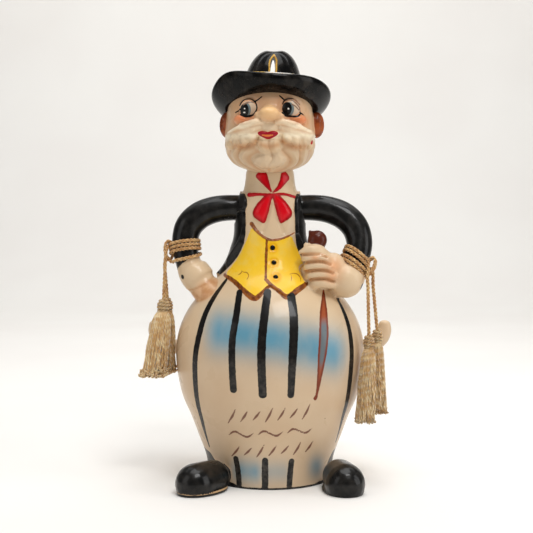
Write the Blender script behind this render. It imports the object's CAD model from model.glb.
"""A glazed earthenware decanter shaped as a stout bearded gentleman, whose head lifts off as its stopper.

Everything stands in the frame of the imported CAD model. Sizes are in millimetres, as in the part's source, and
become metres where a mesh is made. The gentleman faces -Y.
"""

import logging
import math
from dataclasses import dataclass
from enum import Enum
from typing import Callable, Protocol, Sequence

import bmesh
import bpy
import numpy as np
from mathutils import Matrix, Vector

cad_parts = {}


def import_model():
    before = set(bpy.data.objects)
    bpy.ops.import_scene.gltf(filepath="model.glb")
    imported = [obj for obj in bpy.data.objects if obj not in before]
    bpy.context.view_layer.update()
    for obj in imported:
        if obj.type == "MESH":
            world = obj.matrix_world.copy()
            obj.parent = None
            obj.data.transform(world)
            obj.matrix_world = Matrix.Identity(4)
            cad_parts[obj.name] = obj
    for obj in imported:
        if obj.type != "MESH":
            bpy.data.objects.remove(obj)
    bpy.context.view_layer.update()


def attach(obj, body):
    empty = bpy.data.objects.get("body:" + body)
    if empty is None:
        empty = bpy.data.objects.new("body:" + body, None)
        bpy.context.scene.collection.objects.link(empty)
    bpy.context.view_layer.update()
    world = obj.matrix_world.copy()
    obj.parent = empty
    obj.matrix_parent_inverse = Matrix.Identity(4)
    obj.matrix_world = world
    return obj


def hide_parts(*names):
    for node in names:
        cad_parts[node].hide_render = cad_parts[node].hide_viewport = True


log = logging.getLogger("decanter")

MM = 0.001
FRAME_PIXELS = 533

Point = tuple[float, float, float]
Spot = tuple[float, float]
Place = Callable[[float, float], Sequence[float]]


class Side(Enum):
    """Which of the gentleman's sides a piece is on, as the camera sees it."""

    LEFT = -1
    RIGHT = 1


# Curves and distances


def smoothstep(values: np.ndarray | float, low: float, high: float) -> np.ndarray:
    """Rises smoothly from 0 at low to 1 at high.

    Args:
        values: the numbers to map.
        low: where the rise starts.
        high: where the rise ends, below low for a fall.

    Returns:
        The mapped numbers.
    """
    share = np.clip((np.asarray(values, float) - low) / (high - low), 0.0, 1.0)
    return share * share * (3.0 - 2.0 * share)


def smooth_path(points: Sequence[Sequence[float]], count: int) -> np.ndarray:
    """Runs a centripetal Catmull-Rom curve through points, as the part's source does.

    Args:
        points: the points to pass through.
        count: how many evenly spaced points to return.

    Returns:
        The curve's points, one a row.
    """
    given = np.array(points, float)
    padded = np.vstack([2 * given[0] - given[1], given, 2 * given[-1] - given[-2]])
    share = np.linspace(0.0, 1.0, 24, endpoint=False)[:, None]
    pieces = []
    for before, start, end, after in zip(padded, padded[1:], padded[2:], padded[3:]):
        gaps = [
            max(np.linalg.norm(b - a) ** 0.5, 1e-4)
            for a, b in ((before, start), (start, end), (end, after))
        ]
        leave = (start - before) / gaps[0] - (end - before) / (gaps[0] + gaps[1]) + (end - start) / gaps[1]
        reach = (end - start) / gaps[1] - (after - start) / (gaps[1] + gaps[2]) + (after - end) / gaps[2]
        leave, reach = leave * gaps[1], reach * gaps[1]
        bend = 2 * start - 2 * end + leave + reach
        pull = 3 * end - 3 * start - 2 * leave - reach
        pieces.append(start + leave * share + pull * share**2 + bend * share**3)
    curve = np.vstack(pieces + [given[-1:]])
    travelled = np.concatenate([[0.0], np.cumsum(np.linalg.norm(np.diff(curve, axis=0), axis=1))])
    even = np.linspace(0.0, travelled[-1], count)
    return np.column_stack([np.interp(even, travelled, curve[:, axis]) for axis in range(curve.shape[1])])


def rows_at(rows: Sequence[Sequence[float]], keys: np.ndarray) -> list[np.ndarray]:
    """Interpolates smoothly between rows keyed by their first number.

    Args:
        rows: rows of equal length, in rising order of their first number.
        keys: where to read them.

    Returns:
        One array for each further column.
    """
    table = np.array(rows, float)
    known = table[:, 0]
    inside = np.clip(keys, known[0], known[-1])
    i = np.clip(np.searchsorted(known, inside, side="right") - 1, 0, len(known) - 2)
    span = known[i + 1] - known[i]
    t = (inside - known[i]) / span
    slopes = np.gradient(table[:, 1:], known, axis=0)
    result = []
    for column in range(1, table.shape[1]):
        value, slope = table[:, column], slopes[:, column - 1]
        hermite = (2 * t**3 - 3 * t**2 + 1) * value[i] + (3 * t**2 - 2 * t**3) * value[i + 1]
        turning = (t**3 - 2 * t**2 + t) * slope[i] + (t**3 - t**2) * slope[i + 1]
        result.append(hermite + span * turning)
    return result


def softened(outline: Sequence[Spot], passes: int = 2) -> np.ndarray:
    """Rounds the corners of a closed outline by cutting them again and again.

    Args:
        outline: the corners, in order.
        passes: how often they are cut.

    Returns:
        The rounder outline's corners.
    """
    corners = np.array(outline, float)
    for _ in range(passes):
        following = np.roll(corners, -1, axis=0)
        corners = np.stack([0.75 * corners + 0.25 * following, 0.25 * corners + 0.75 * following], axis=1)
        corners = corners.reshape(-1, 2)
    return corners


def segment_distance(spots: np.ndarray, start: np.ndarray, end: np.ndarray) -> tuple[np.ndarray, np.ndarray]:
    """Measures how far spots are from one straight segment.

    Args:
        spots: the spots, one a row.
        start: one end of the segment.
        end: its other end.

    Returns:
        The distances, and how far along the segment each nearest point is, from 0 to 1.
    """
    along = end - start
    share = np.clip(((spots - start) @ along) / max(float(along @ along), 1e-9), 0.0, 1.0)
    return np.linalg.norm(spots - start - share[:, None] * along, axis=1), share


def inside_distance(spots: np.ndarray, outline: np.ndarray) -> np.ndarray:
    """Measures how far spots are outside a closed outline, negative inside it.

    Args:
        spots: the spots, one a row.
        outline: the outline's corners.

    Returns:
        The signed distances.
    """
    nearest = np.full(len(spots), np.inf)
    within = np.zeros(len(spots), bool)
    for start, end in zip(outline, np.roll(outline, -1, axis=0)):
        distance, _ = segment_distance(spots, start, end)
        nearest = np.minimum(nearest, distance)
        rise = end[1] - start[1]
        spans = (start[1] > spots[:, 1]) != (end[1] > spots[:, 1])
        crossing = start[0] + (spots[:, 1] - start[1]) * (end[0] - start[0]) / (rise if rise else 1e-9)
        within ^= spans & (spots[:, 0] < crossing)
    return np.where(within, -nearest, nearest)


def stroke_distance(
    spots: np.ndarray, points: Sequence[Spot], widths: Sequence[float], count: int = 24,
) -> np.ndarray:
    """Measures how far spots are outside a brush stroke, negative inside it.

    Args:
        spots: the spots, one a row.
        points: the spots that the stroke passes through.
        widths: the stroke's widths, spread evenly along it.
        count: how many short pieces the stroke is measured in.

    Returns:
        The signed distances.
    """
    path = smooth_path(points, count) if len(points) > 2 else np.linspace(*np.array(points, float), count)
    half = np.interp(np.linspace(0, 1, count), np.linspace(0, 1, len(widths)), widths) / 2
    nearest = np.full(len(spots), np.inf)
    for i in range(count - 1):
        distance, share = segment_distance(spots, path[i], path[i + 1])
        nearest = np.minimum(nearest, distance - half[i] * (1 - share) - half[i + 1] * share)
    return nearest


# Closed forms that can be built and measured


def wrapped(work: bmesh.types.BMesh, around: int, along: int, place: Place) -> None:
    """Bends a flat grid into a closed skin and joins its seam and its poles.

    Args:
        work: the mesh in the making.
        around: how many faces go round.
        along: how many go along.
        place: gives the point in millimetres for a share round and a share along.
    """
    made = bmesh.ops.create_grid(work, x_segments=around, y_segments=along, size=0.5)
    for vertex in made["verts"]:
        vertex.co = Vector(place(vertex.co.x + 0.5, vertex.co.y + 0.5)) * MM
    bmesh.ops.remove_doubles(work, verts=made["verts"], dist=2e-6)
    bmesh.ops.recalc_face_normals(work, faces=work.faces)


class Form(Protocol):
    """A closed shape that can be built and measured."""

    def build(self, work: bmesh.types.BMesh) -> None:
        """Adds the shape to a mesh."""

    def distance(self, spots: np.ndarray) -> np.ndarray:
        """Gives how far spots are outside the shape."""


class Tube:
    """A limb of changing thickness along a smooth line."""

    def __init__(
        self,
        points: Sequence[Sequence[float]],
        radii: Sequence[Sequence[float]],
        steps: int = 48,
        dome: float = 0.3,
        flatness: float = 1.0,
        sides: int = 28,
    ) -> None:
        """Lays out the line and the frame at each of its points.

        Args:
            points: what the line passes through.
            radii: rows of share along the line and radius there.
            steps: how many steps the line is built in.
            dome: how far each end bulges, as a share of its radius.
            flatness: the second radius as a share of the first.
            sides: how many faces go round.
        """
        self.centres = smooth_path(points, steps + 1)
        (self.radii,) = rows_at(radii, np.linspace(0.0, 1.0, steps + 1))
        self.dome, self.flatness, self.sides, self.steps = dome, flatness, sides, steps
        tangents = np.gradient(self.centres, axis=0)
        self.tangents = tangents / np.linalg.norm(tangents, axis=1)[:, None]
        side = np.cross(
            self.tangents[0], (0.0, 0.0, 1.0) if abs(self.tangents[0][2]) < 0.9 else (0.0, -1.0, 0.0),
        )
        sides_along = []
        for tangent in self.tangents:
            side = side - tangent * float(side @ tangent)
            side = side / np.linalg.norm(side)
            sides_along.append(side)
        self.across = np.array(sides_along)
        self.upright = np.cross(self.across, self.tangents)

    def place(self, turn: float, share: float) -> np.ndarray:
        """Gives the skin's point at a share round and a share along, ends included."""
        cap = 0.06
        body = min(max((share - cap) / (1 - 2 * cap), 0.0), 1.0)
        i = int(round(body * self.steps))
        lean = 0.0
        if share < cap:
            lean = (share / cap - 1) * math.pi / 2
        elif share > 1 - cap:
            lean = ((share - 1) / cap + 1) * math.pi / 2
        radius = self.radii[i] * math.cos(lean)
        angle = turn * 2 * math.pi
        offset = self.across[i] * math.cos(angle) + self.upright[i] * math.sin(angle) * self.flatness
        ahead = self.tangents[i] * self.radii[i] * math.sin(lean) * self.dome
        return self.centres[i] + offset * radius + ahead

    def build(self, work: bmesh.types.BMesh) -> None:
        """Adds the limb to a mesh."""
        cap_rows = 4
        along = self.steps + 2 * cap_rows

        def laid(turn: float, share: float) -> np.ndarray:
            row = round(share * along)
            cap = 0.06
            if row < cap_rows:
                return self.place(turn, row / cap_rows * cap)
            if row > along - cap_rows:
                return self.place(turn, 1 - (along - row) / cap_rows * cap)
            return self.place(turn, cap + (row - cap_rows) / self.steps * (1 - 2 * cap))

        wrapped(work, self.sides, along, laid)

    def distance(self, spots: np.ndarray) -> np.ndarray:
        """Gives how far spots are outside the limb, taken as a row of balls."""
        nearest = np.full(len(spots), np.inf)
        for centre, radius in zip(self.centres, self.radii):
            nearest = np.minimum(nearest, np.linalg.norm(spots - centre, axis=1) - radius)
        return nearest


@dataclass(frozen=True)
class Ball:
    """An egg with three radii, turned about the vertical and tipped about X."""

    centre: Point
    radii: Point
    turn_degrees: float = 0.0
    tip_degrees: float = 0.0
    boxiness: float = 1.0

    def axes(self) -> np.ndarray:
        """Gives the egg's own axes as the rows of a matrix."""
        turn, tip = math.radians(self.turn_degrees), math.radians(self.tip_degrees)
        about_x = np.array([[1, 0, 0], [0, math.cos(tip), -math.sin(tip)], [0, math.sin(tip), math.cos(tip)]])
        about_z = np.array(
            [[math.cos(turn), -math.sin(turn), 0], [math.sin(turn), math.cos(turn), 0], [0, 0, 1]]
        )
        return (about_z @ about_x).T

    def build(self, work: bmesh.types.BMesh) -> None:
        """Adds the egg to a mesh."""
        axes = self.axes()

        def laid(turn: float, share: float) -> np.ndarray:
            angle, lift = turn * 2 * math.pi, (share - 0.5) * math.pi
            unit = np.array(
                [math.cos(angle) * math.cos(lift), math.sin(angle) * math.cos(lift), math.sin(lift)]
            )
            unit = np.sign(unit) * np.abs(unit) ** self.boxiness
            return np.array(self.centre) + (unit * np.array(self.radii)) @ axes

        wrapped(work, 32, 20, laid)

    def distance(self, spots: np.ndarray) -> np.ndarray:
        """Gives how far spots are outside the egg, near enough close to its skin."""
        local = (spots - np.array(self.centre)) @ self.axes().T / np.array(self.radii)
        return (np.linalg.norm(local, axis=1) - 1.0) * min(self.radii)


class Lathe:
    """A form with an oval section at each height."""

    def __init__(self, rows: Sequence[Sequence[float]], around: int, along: int) -> None:
        """Keeps the outline.

        Args:
            rows: height, half width, half depth and how far back the middle is.
            around: how many faces go round.
            along: how many go along.
        """
        self.rows, self.around, self.along = rows, around, along

    def section(self, heights: np.ndarray) -> tuple[np.ndarray, np.ndarray, np.ndarray]:
        """Gives half widths, half depths and how far back the middles are."""
        half_width, half_depth, back = rows_at(self.rows, heights)
        return half_width, half_depth, back

    def angle(self, spots: np.ndarray) -> np.ndarray:
        """Gives the direction of spots round the form, 0 in front and rising towards +X."""
        half_width, half_depth, back = self.section(spots[:, 2])
        return np.arctan2(spots[:, 0] / half_width, -(spots[:, 1] - back) / half_depth)

    def spread(self, spots: np.ndarray) -> np.ndarray:
        """Rolls the form's skin out flat: the way round from the front, and the height."""
        half_width, half_depth, _ = self.section(spots[:, 2])
        return np.column_stack([self.angle(spots) * (half_width + half_depth) / 2, spots[:, 2]])

    def spot(self, degrees: float, height: float) -> Spot:
        """Gives a direction and a height as a place on the rolled-out skin."""
        half_width, half_depth, _ = self.section(np.array([height]))
        return (math.radians(degrees) * float(half_width[0] + half_depth[0]) / 2, height)

    def front(self, x: float, height: float) -> float:
        """Gives the Y of the front skin at a place in the front view."""
        half_width, half_depth, back = (float(v[0]) for v in self.section(np.array([height])))
        return back - half_depth * math.sqrt(max(0.0, 1 - (x / half_width) ** 2))

    def point(self, degrees: float, height: float, out: float = 0.0) -> Point:
        """Gives a point of the skin by direction and height, moved out by some millimetres."""
        half_width, half_depth, back = (float(v[0]) for v in self.section(np.array([height])))
        angle = math.radians(degrees)
        return (math.sin(angle) * (half_width + out), back - math.cos(angle) * (half_depth + out), height)

    def build(self, work: bmesh.types.BMesh) -> None:
        """Adds the form to a mesh, closed flat below and above."""
        low, high = self.rows[0][0], self.rows[-1][0]

        def laid(turn: float, share: float) -> np.ndarray:
            row = round(share * self.along)
            inner = min(max(row - 1, 0), self.along - 2)
            height = low + (high - low) * inner / (self.along - 2)
            half_width, half_depth, back = (float(v[0]) for v in self.section(np.array([height])))
            reach = 0.0 if row in (0, self.along) else 1.0
            angle = turn * 2 * math.pi
            return np.array(
                [math.sin(angle) * half_width * reach, back - math.cos(angle) * half_depth * reach, height]
            )

        wrapped(work, self.around, self.along, laid)

    def distance(self, spots: np.ndarray) -> np.ndarray:
        """Gives how far spots are outside the form, near enough close to its skin."""
        half_width, half_depth, back = self.section(spots[:, 2])
        reach = np.hypot(spots[:, 0] / half_width, (spots[:, 1] - back) / half_depth)
        return (reach - 1.0) * np.minimum(half_width, half_depth)


def nearest_of(forms: Sequence[Form], spots: np.ndarray) -> np.ndarray:
    """Gives how far spots are outside the nearest of some forms."""
    return np.min([form.distance(spots) for form in forms], axis=0)


# Pieces and their meshes


def piece_from(name: str, work: bmesh.types.BMesh, smooth: bool = True) -> bpy.types.Object:
    """Turns a mesh in the making into an object that rides on the decanter.

    Args:
        name: the piece's name.
        work: the mesh, which is freed.
        smooth: whether its faces are shaded smooth.

    Returns:
        The object.
    """
    mesh = bpy.data.meshes.new(name)
    work.to_mesh(mesh)
    work.free()
    mesh.polygons.foreach_set("use_smooth", [smooth] * len(mesh.polygons))
    piece = bpy.data.objects.new(name, mesh)
    bpy.context.scene.collection.objects.link(piece)
    return piece


def settle(piece: bpy.types.Object) -> None:
    """Makes a piece's modifiers part of its mesh."""
    graph = bpy.context.evaluated_depsgraph_get()
    mesh = bpy.data.meshes.new_from_object(piece.evaluated_get(graph))
    piece.modifiers.clear()
    piece.data = mesh
    mesh.polygons.foreach_set("use_smooth", [True] * len(mesh.polygons))


def fused(name: str, forms: Sequence[Form], grain: float, passes: int) -> bpy.types.Object:
    """Runs forms together into one skin, as clay is joined.

    Args:
        name: the piece's name.
        forms: the closed forms.
        grain: the size of the new skin's faces in millimetres.
        passes: how often the skin is eased.

    Returns:
        The piece.
    """
    work = bmesh.new()
    for form in forms:
        form.build(work)
    piece = piece_from(name, work)
    remesh = piece.modifiers.new("fuse", "REMESH")
    remesh.mode = "VOXEL"
    remesh.voxel_size = grain * MM
    ease = piece.modifiers.new("ease", "SMOOTH")
    ease.factor = 0.5
    ease.iterations = passes
    settle(piece)
    return piece


def refined(piece: bpy.types.Object, wanted: Callable[[np.ndarray], np.ndarray]) -> None:
    """Splits a piece's faces in four where more detail is wanted.

    Args:
        piece: the piece.
        wanted: tells from the middles of faces, in millimetres, which ones are split.
    """
    work = bmesh.new()
    work.from_mesh(piece.data)
    work.faces.ensure_lookup_table()
    middles = np.array([face.calc_center_median() for face in work.faces]) / MM
    chosen = np.flatnonzero(wanted(middles))
    edges = {edge for i in chosen for edge in work.faces[int(i)].edges}
    bmesh.ops.subdivide_edges(work, edges=list(edges), cuts=1, use_grid_fill=True)
    crowded = [face for face in work.faces if len(face.verts) > 4]
    bmesh.ops.triangulate(work, faces=crowded)
    work.to_mesh(piece.data)
    work.free()
    piece.data.polygons.foreach_set("use_smooth", [True] * len(piece.data.polygons))


def cut_flat(piece: bpy.types.Object, height: float) -> None:
    """Cuts a piece off level and closes the cut, keeping what is above.

    Args:
        piece: the piece.
        height: the cut's height in millimetres.
    """
    work = bmesh.new()
    work.from_mesh(piece.data)
    geometry = [*work.verts, *work.edges, *work.faces]
    level = Vector((0, 0, height * MM))
    bmesh.ops.bisect_plane(
        work, geom=geometry, dist=1e-6, plane_co=level, plane_no=(0, 0, 1), clear_inner=True,
    )
    rim = [edge for edge in work.edges if edge.is_boundary]
    bmesh.ops.holes_fill(work, edges=rim, sides=0)
    bmesh.ops.triangulate(work, faces=[face for face in work.faces if len(face.verts) > 4])
    work.to_mesh(piece.data)
    work.free()


def hollowed(piece: bpy.types.Object, hollow: Form) -> None:
    """Takes a hollow out of a piece.

    Args:
        piece: the piece, one closed skin.
        hollow: the form to take out.
    """
    work = bmesh.new()
    hollow.build(work)
    tool = piece_from("hollow", work)
    cut = piece.modifiers.new("hollow", "BOOLEAN")
    cut.operation = "DIFFERENCE"
    cut.solver = "MANIFOLD"
    cut.object = tool
    settle(piece)
    piece.data.materials.clear()
    bpy.data.objects.remove(tool)


class Clay:
    """A piece's skin as numbers in millimetres, to be pressed and painted."""

    def __init__(self, piece: bpy.types.Object) -> None:
        """Reads the skin.

        Args:
            piece: the piece, whose modifiers are settled.
        """
        self.mesh = piece.data
        count = len(self.mesh.vertices)
        coordinates = np.empty(count * 3, np.float32)
        self.mesh.vertices.foreach_get("co", coordinates)
        self.spots = coordinates.reshape(-1, 3).astype(float) / MM
        normals = np.empty(count * 3, np.float32)
        self.mesh.vertex_normals.foreach_get("vector", normals)
        self.normals = normals.reshape(-1, 3).astype(float)
        pairs = np.empty(len(self.mesh.edges) * 2, np.int32)
        self.mesh.edges.foreach_get("vertices", pairs)
        self.pairs = pairs.reshape(-1, 2)

    def press(self, heights: np.ndarray) -> None:
        """Moves the skin out by a height at each of its points."""
        self.spots = self.spots + self.normals * heights[:, None]
        self.mesh.vertices.foreach_set("co", (self.spots * MM).astype(np.float32).ravel())
        self.mesh.update()

    def paint(self, name: str, values: np.ndarray) -> None:
        """Keeps a number at each point of the skin for the glaze to read."""
        layer = self.mesh.attributes.new(name, "FLOAT", "POINT")
        layer.data.foreach_set("value", np.asarray(values, np.float32))

    def spread_out(self, values: np.ndarray, passes: int) -> np.ndarray:
        """Evens numbers out between neighbouring points.

        Args:
            values: one number for each point.
            passes: how often they are evened.

        Returns:
            The evened numbers.
        """
        first, second = self.pairs[:, 0], self.pairs[:, 1]
        counts = np.bincount(first, minlength=len(values)) + np.bincount(second, minlength=len(values))
        counts = np.maximum(counts, 1)
        for _ in range(passes):
            sums = np.bincount(
                first, values[second], len(values),
            ) + np.bincount(second, values[first], len(values))
            values = 0.5 * values + 0.5 * sums / counts
        return values

    def hollows(self, passes: int) -> np.ndarray:
        """Gives how far each point lies in a groove, about 0 on flat skin and 1 in a sharp crease."""
        eased = np.column_stack([self.spread_out(self.spots[:, axis], passes) for axis in range(3)])
        depth = ((eased - self.spots) * self.normals).sum(axis=1)
        return self.spread_out(depth, 1)


# Glazes


def srgb(red: int, green: int, blue: int) -> tuple[float, float, float, float]:
    """Turns a colour of 0 to 255 a channel into Blender's linear colour."""
    linear = [
        c / 12.92 if c <= 0.04045 else ((c + 0.055) / 1.055) ** 2.4
        for c in (red / 255, green / 255, blue / 255)
    ]
    return (*linear, 1.0)


class Mixing:
    """A material in the making: colours laid over each other like brushed glazes."""

    def __init__(self, name: str) -> None:
        """Starts a material with its shader and the piece's own coordinates.

        Args:
            name: the material's name.
        """
        self.material = bpy.data.materials.new(name)
        self.material.use_nodes = True
        self.tree = self.material.node_tree
        self.shader = self.tree.nodes["Principled BSDF"]
        self.coordinates = self.tree.nodes.new("ShaderNodeTexCoord").outputs["Object"]

    def node(self, kind: str, inputs: dict[int | str, object], **settings: object) -> bpy.types.Node:
        """Adds a node.

        Args:
            kind: the node's type.
            inputs: what each input takes, a socket or a value.
            **settings: the node's own settings.

        Returns:
            The node.
        """
        made = self.tree.nodes.new(kind)
        for key, value in settings.items():
            setattr(made, key, value)
        for key, value in inputs.items():
            if isinstance(value, bpy.types.NodeSocket):
                self.tree.links.new(value, made.inputs[key])
            else:
                made.inputs[key].default_value = value
        return made

    def math(
        self, operation: str, first: object, second: object = 0.0, third: object = 0.0,
    ) -> bpy.types.NodeSocket:
        """Adds a sum and gives its result."""
        return self.node("ShaderNodeMath", {0: first, 1: second, 2: third}, operation=operation).outputs[0]

    def painted(self, name: str) -> bpy.types.NodeSocket:
        """Gives a number that was painted on the piece's skin."""
        return self.node("ShaderNodeAttribute", {}, attribute_name=name).outputs["Fac"]

    def rise(self, value: object, low: float, high: float) -> bpy.types.NodeSocket:
        """Gives a number that rises smoothly from 0 at low to 1 at high."""
        inputs = {"Value": value, "From Min": low, "From Max": high}
        return self.node("ShaderNodeMapRange", inputs, interpolation_type="SMOOTHSTEP").outputs["Result"]

    def noise(
        self, size: float, detail: float = 2.0, stretch: Point = (1.0, 1.0, 1.0),
    ) -> bpy.types.NodeSocket:
        """Gives cloudy noise about 0.5.

        Args:
            size: how large its clouds are, in millimetres.
            detail: how many finer layers it has.
            stretch: how much longer the clouds are along each axis.

        Returns:
            The noise.
        """
        scale = [1 / (size * MM * along) for along in stretch]
        where = self.node("ShaderNodeMapping", {"Vector": self.coordinates, "Scale": scale}).outputs[0]
        return self.node("ShaderNodeTexNoise", {"Vector": where, "Scale": 1.0, "Detail": detail}).outputs[0]

    def within(self, field: bpy.types.NodeSocket, edge: float, wobble: float = 0.0) -> bpy.types.NodeSocket:
        """Gives 1 inside an outline and 0 outside it, with a brushed edge.

        Args:
            field: the distance outside the outline in millimetres.
            edge: half the width of the soft edge in millimetres.
            wobble: how far the edge strays in millimetres.

        Returns:
            The mask.
        """
        if wobble:
            strayed = self.math("MULTIPLY", self.math("SUBTRACT", self.noise(2.6), 0.5), wobble * 2)
            field = self.math("ADD", field, strayed)
        return self.rise(field, edge, -edge)

    def over(self, below: object, above: object, share: object) -> bpy.types.NodeSocket:
        """Lays one colour over another."""
        mix = self.node("ShaderNodeMix", {0: share, 6: below, 7: above}, data_type="RGBA")
        return mix.outputs[2]

    def bumped(
        self, height: bpy.types.NodeSocket, depth: float, below: object = None,
    ) -> bpy.types.NodeSocket:
        """Adds a bump and gives the normal.

        Args:
            height: the height, 0 to 1.
            depth: what 1 stands for, in millimetres.
            below: the normal of a bump beneath this one.

        Returns:
            The normal.
        """
        inputs = {"Height": height, "Distance": depth * MM, "Strength": 1.0}
        if below is not None:
            inputs["Normal"] = below
        return self.node("ShaderNodeBump", inputs).outputs[0]

    def finish(
        self, colour: object, roughness: object, normal: object = None, **sockets: float,
    ) -> bpy.types.Material:
        """Sets the shader.

        Args:
            colour: the base colour.
            roughness: the roughness.
            normal: the bumped normal.
            **sockets: other sockets of the shader, with _ for a space.

        Returns:
            The finished material.
        """
        for key, value in {"Base Color": colour, "Roughness": roughness, "Normal": normal}.items():
            if isinstance(value, bpy.types.NodeSocket):
                self.tree.links.new(value, self.shader.inputs[key])
            elif value is not None:
                self.shader.inputs[key].default_value = value
        for key, value in sockets.items():
            self.shader.inputs[key.replace("_", " ")].default_value = value
        return self.material


@dataclass(frozen=True)
class Coat:
    """The clear glaze over everything: how wet it looks."""

    roughness: float = 0.3
    clear: float = 0.22
    clear_roughness: float = 0.06
    ripple: float = 0.035
    shine: float = 0.16

    def close(self, mixing: Mixing, colour: object, normal: object = None) -> bpy.types.Material:
        """Finishes a material with this glaze.

        Args:
            mixing: the material in the making.
            colour: its colour.
            normal: the normal of any bump beneath the glaze's own ripple.

        Returns:
            The finished material.
        """
        rippled = mixing.bumped(mixing.noise(7.0, 3.0), self.ripple, normal)
        uneven = mixing.rise(mixing.noise(18.0, 3.0), 0.2, 0.8)
        roughness = mixing.math("MULTIPLY_ADD", uneven, 0.1, self.roughness - 0.05)
        sockets = {
            "Coat_Weight": self.clear, "Coat_Roughness": self.clear_roughness,
            "Specular_IOR_Level": self.shine,
        }
        return mixing.finish(colour, roughness, rippled, **sockets)


CLAY = Coat()
BLACK_GLAZE = Coat(roughness=0.22, clear=0.16, clear_roughness=0.04, ripple=0.05, shine=0.06)

CREAM = srgb(216, 190, 158)
CREAM_DEEP = srgb(202, 168, 132)
CREAM_PALE = srgb(224, 197, 161)
SNOW = srgb(253, 236, 205)
INK = srgb(16, 15, 15)
INK_THIN = srgb(74, 68, 62)
BLACK = srgb(9, 9, 9)
YELLOW = srgb(250, 202, 50)
YELLOW_DEEP = srgb(242, 180, 12)
YELLOW_THIN = srgb(240, 208, 104)
TRIM = srgb(156, 88, 32)
TRIM_DEEP = srgb(112, 56, 20)
SCRIBBLE = srgb(112, 66, 52)
RED = srgb(216, 4, 24)
RED_DEEP = srgb(172, 0, 16)
FLESH = srgb(222, 178, 136)
PEACH = srgb(226, 160, 112)
TAN = srgb(196, 140, 92)
BLUE = srgb(98, 150, 172)
KNOB = srgb(84, 34, 20)
CANE = srgb(122, 50, 26)
CANE_PALE = srgb(160, 80, 46)
CANE_GREY = srgb(104, 112, 116)
GILT = srgb(214, 170, 70)
SOLE = srgb(190, 156, 116)
WHITE = srgb(250, 246, 238)
EAR = srgb(166, 84, 42)
EAR_DEEP = srgb(120, 54, 26)
LIPS = srgb(160, 14, 36)
LIPS_LIGHT = srgb(222, 120, 60)
EYE_WHITE = srgb(214, 190, 164)
EYE_GREY = srgb(112, 126, 128)
LID = srgb(140, 110, 90)


# The body: one glazed vessel with its dress, arms, shoes and pegs


TRUNK = Lathe(
    [
        (-4, 42.2, 43.3, -2.6), (0, 42.6, 43.5, -2.5), (16, 44.8, 43.9, -1.9), (31, 50.4, 46.2, -1),
        (43.8, 55.3, 49, -0.4), (56.4, 60.9, 52, 0), (70, 64.2, 53.6, 0), (84, 65.8, 54.4, 0),
        (97, 65, 53.4, 0),
        (110, 61.2, 50, 0.3), (122, 54.2, 44.6, 0.8), (133, 44.2, 37.4, 1.2), (143, 33.6, 29.6, 1.6),
        (152, 26.8, 24.8, 2), (163, 23.2, 21.6, 2), (176, 22.8, 20.2, 2), (188, 23.6, 19.8, 2),
        (194, 22, 19.2, 2),
        (200, 18.8, 17.8, 2), (208, 17.2, 17, 2), (214, 16.4, 16.3, 2), (216.5, 14.8, 14.7, 2),
    ],
    around=128,
    along=150,
)


@dataclass(frozen=True)
class Stripe:
    """One painted stripe down the trousers."""

    rows: tuple[Spot, ...]
    widths: tuple[float, ...]

    def distance(self, rolled: np.ndarray) -> np.ndarray:
        """Gives how far places on the rolled-out skin are outside the stripe."""
        path = [TRUNK.spot(degrees, height) for height, degrees in self.rows]
        return stroke_distance(rolled, path, self.widths, 40)


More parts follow.
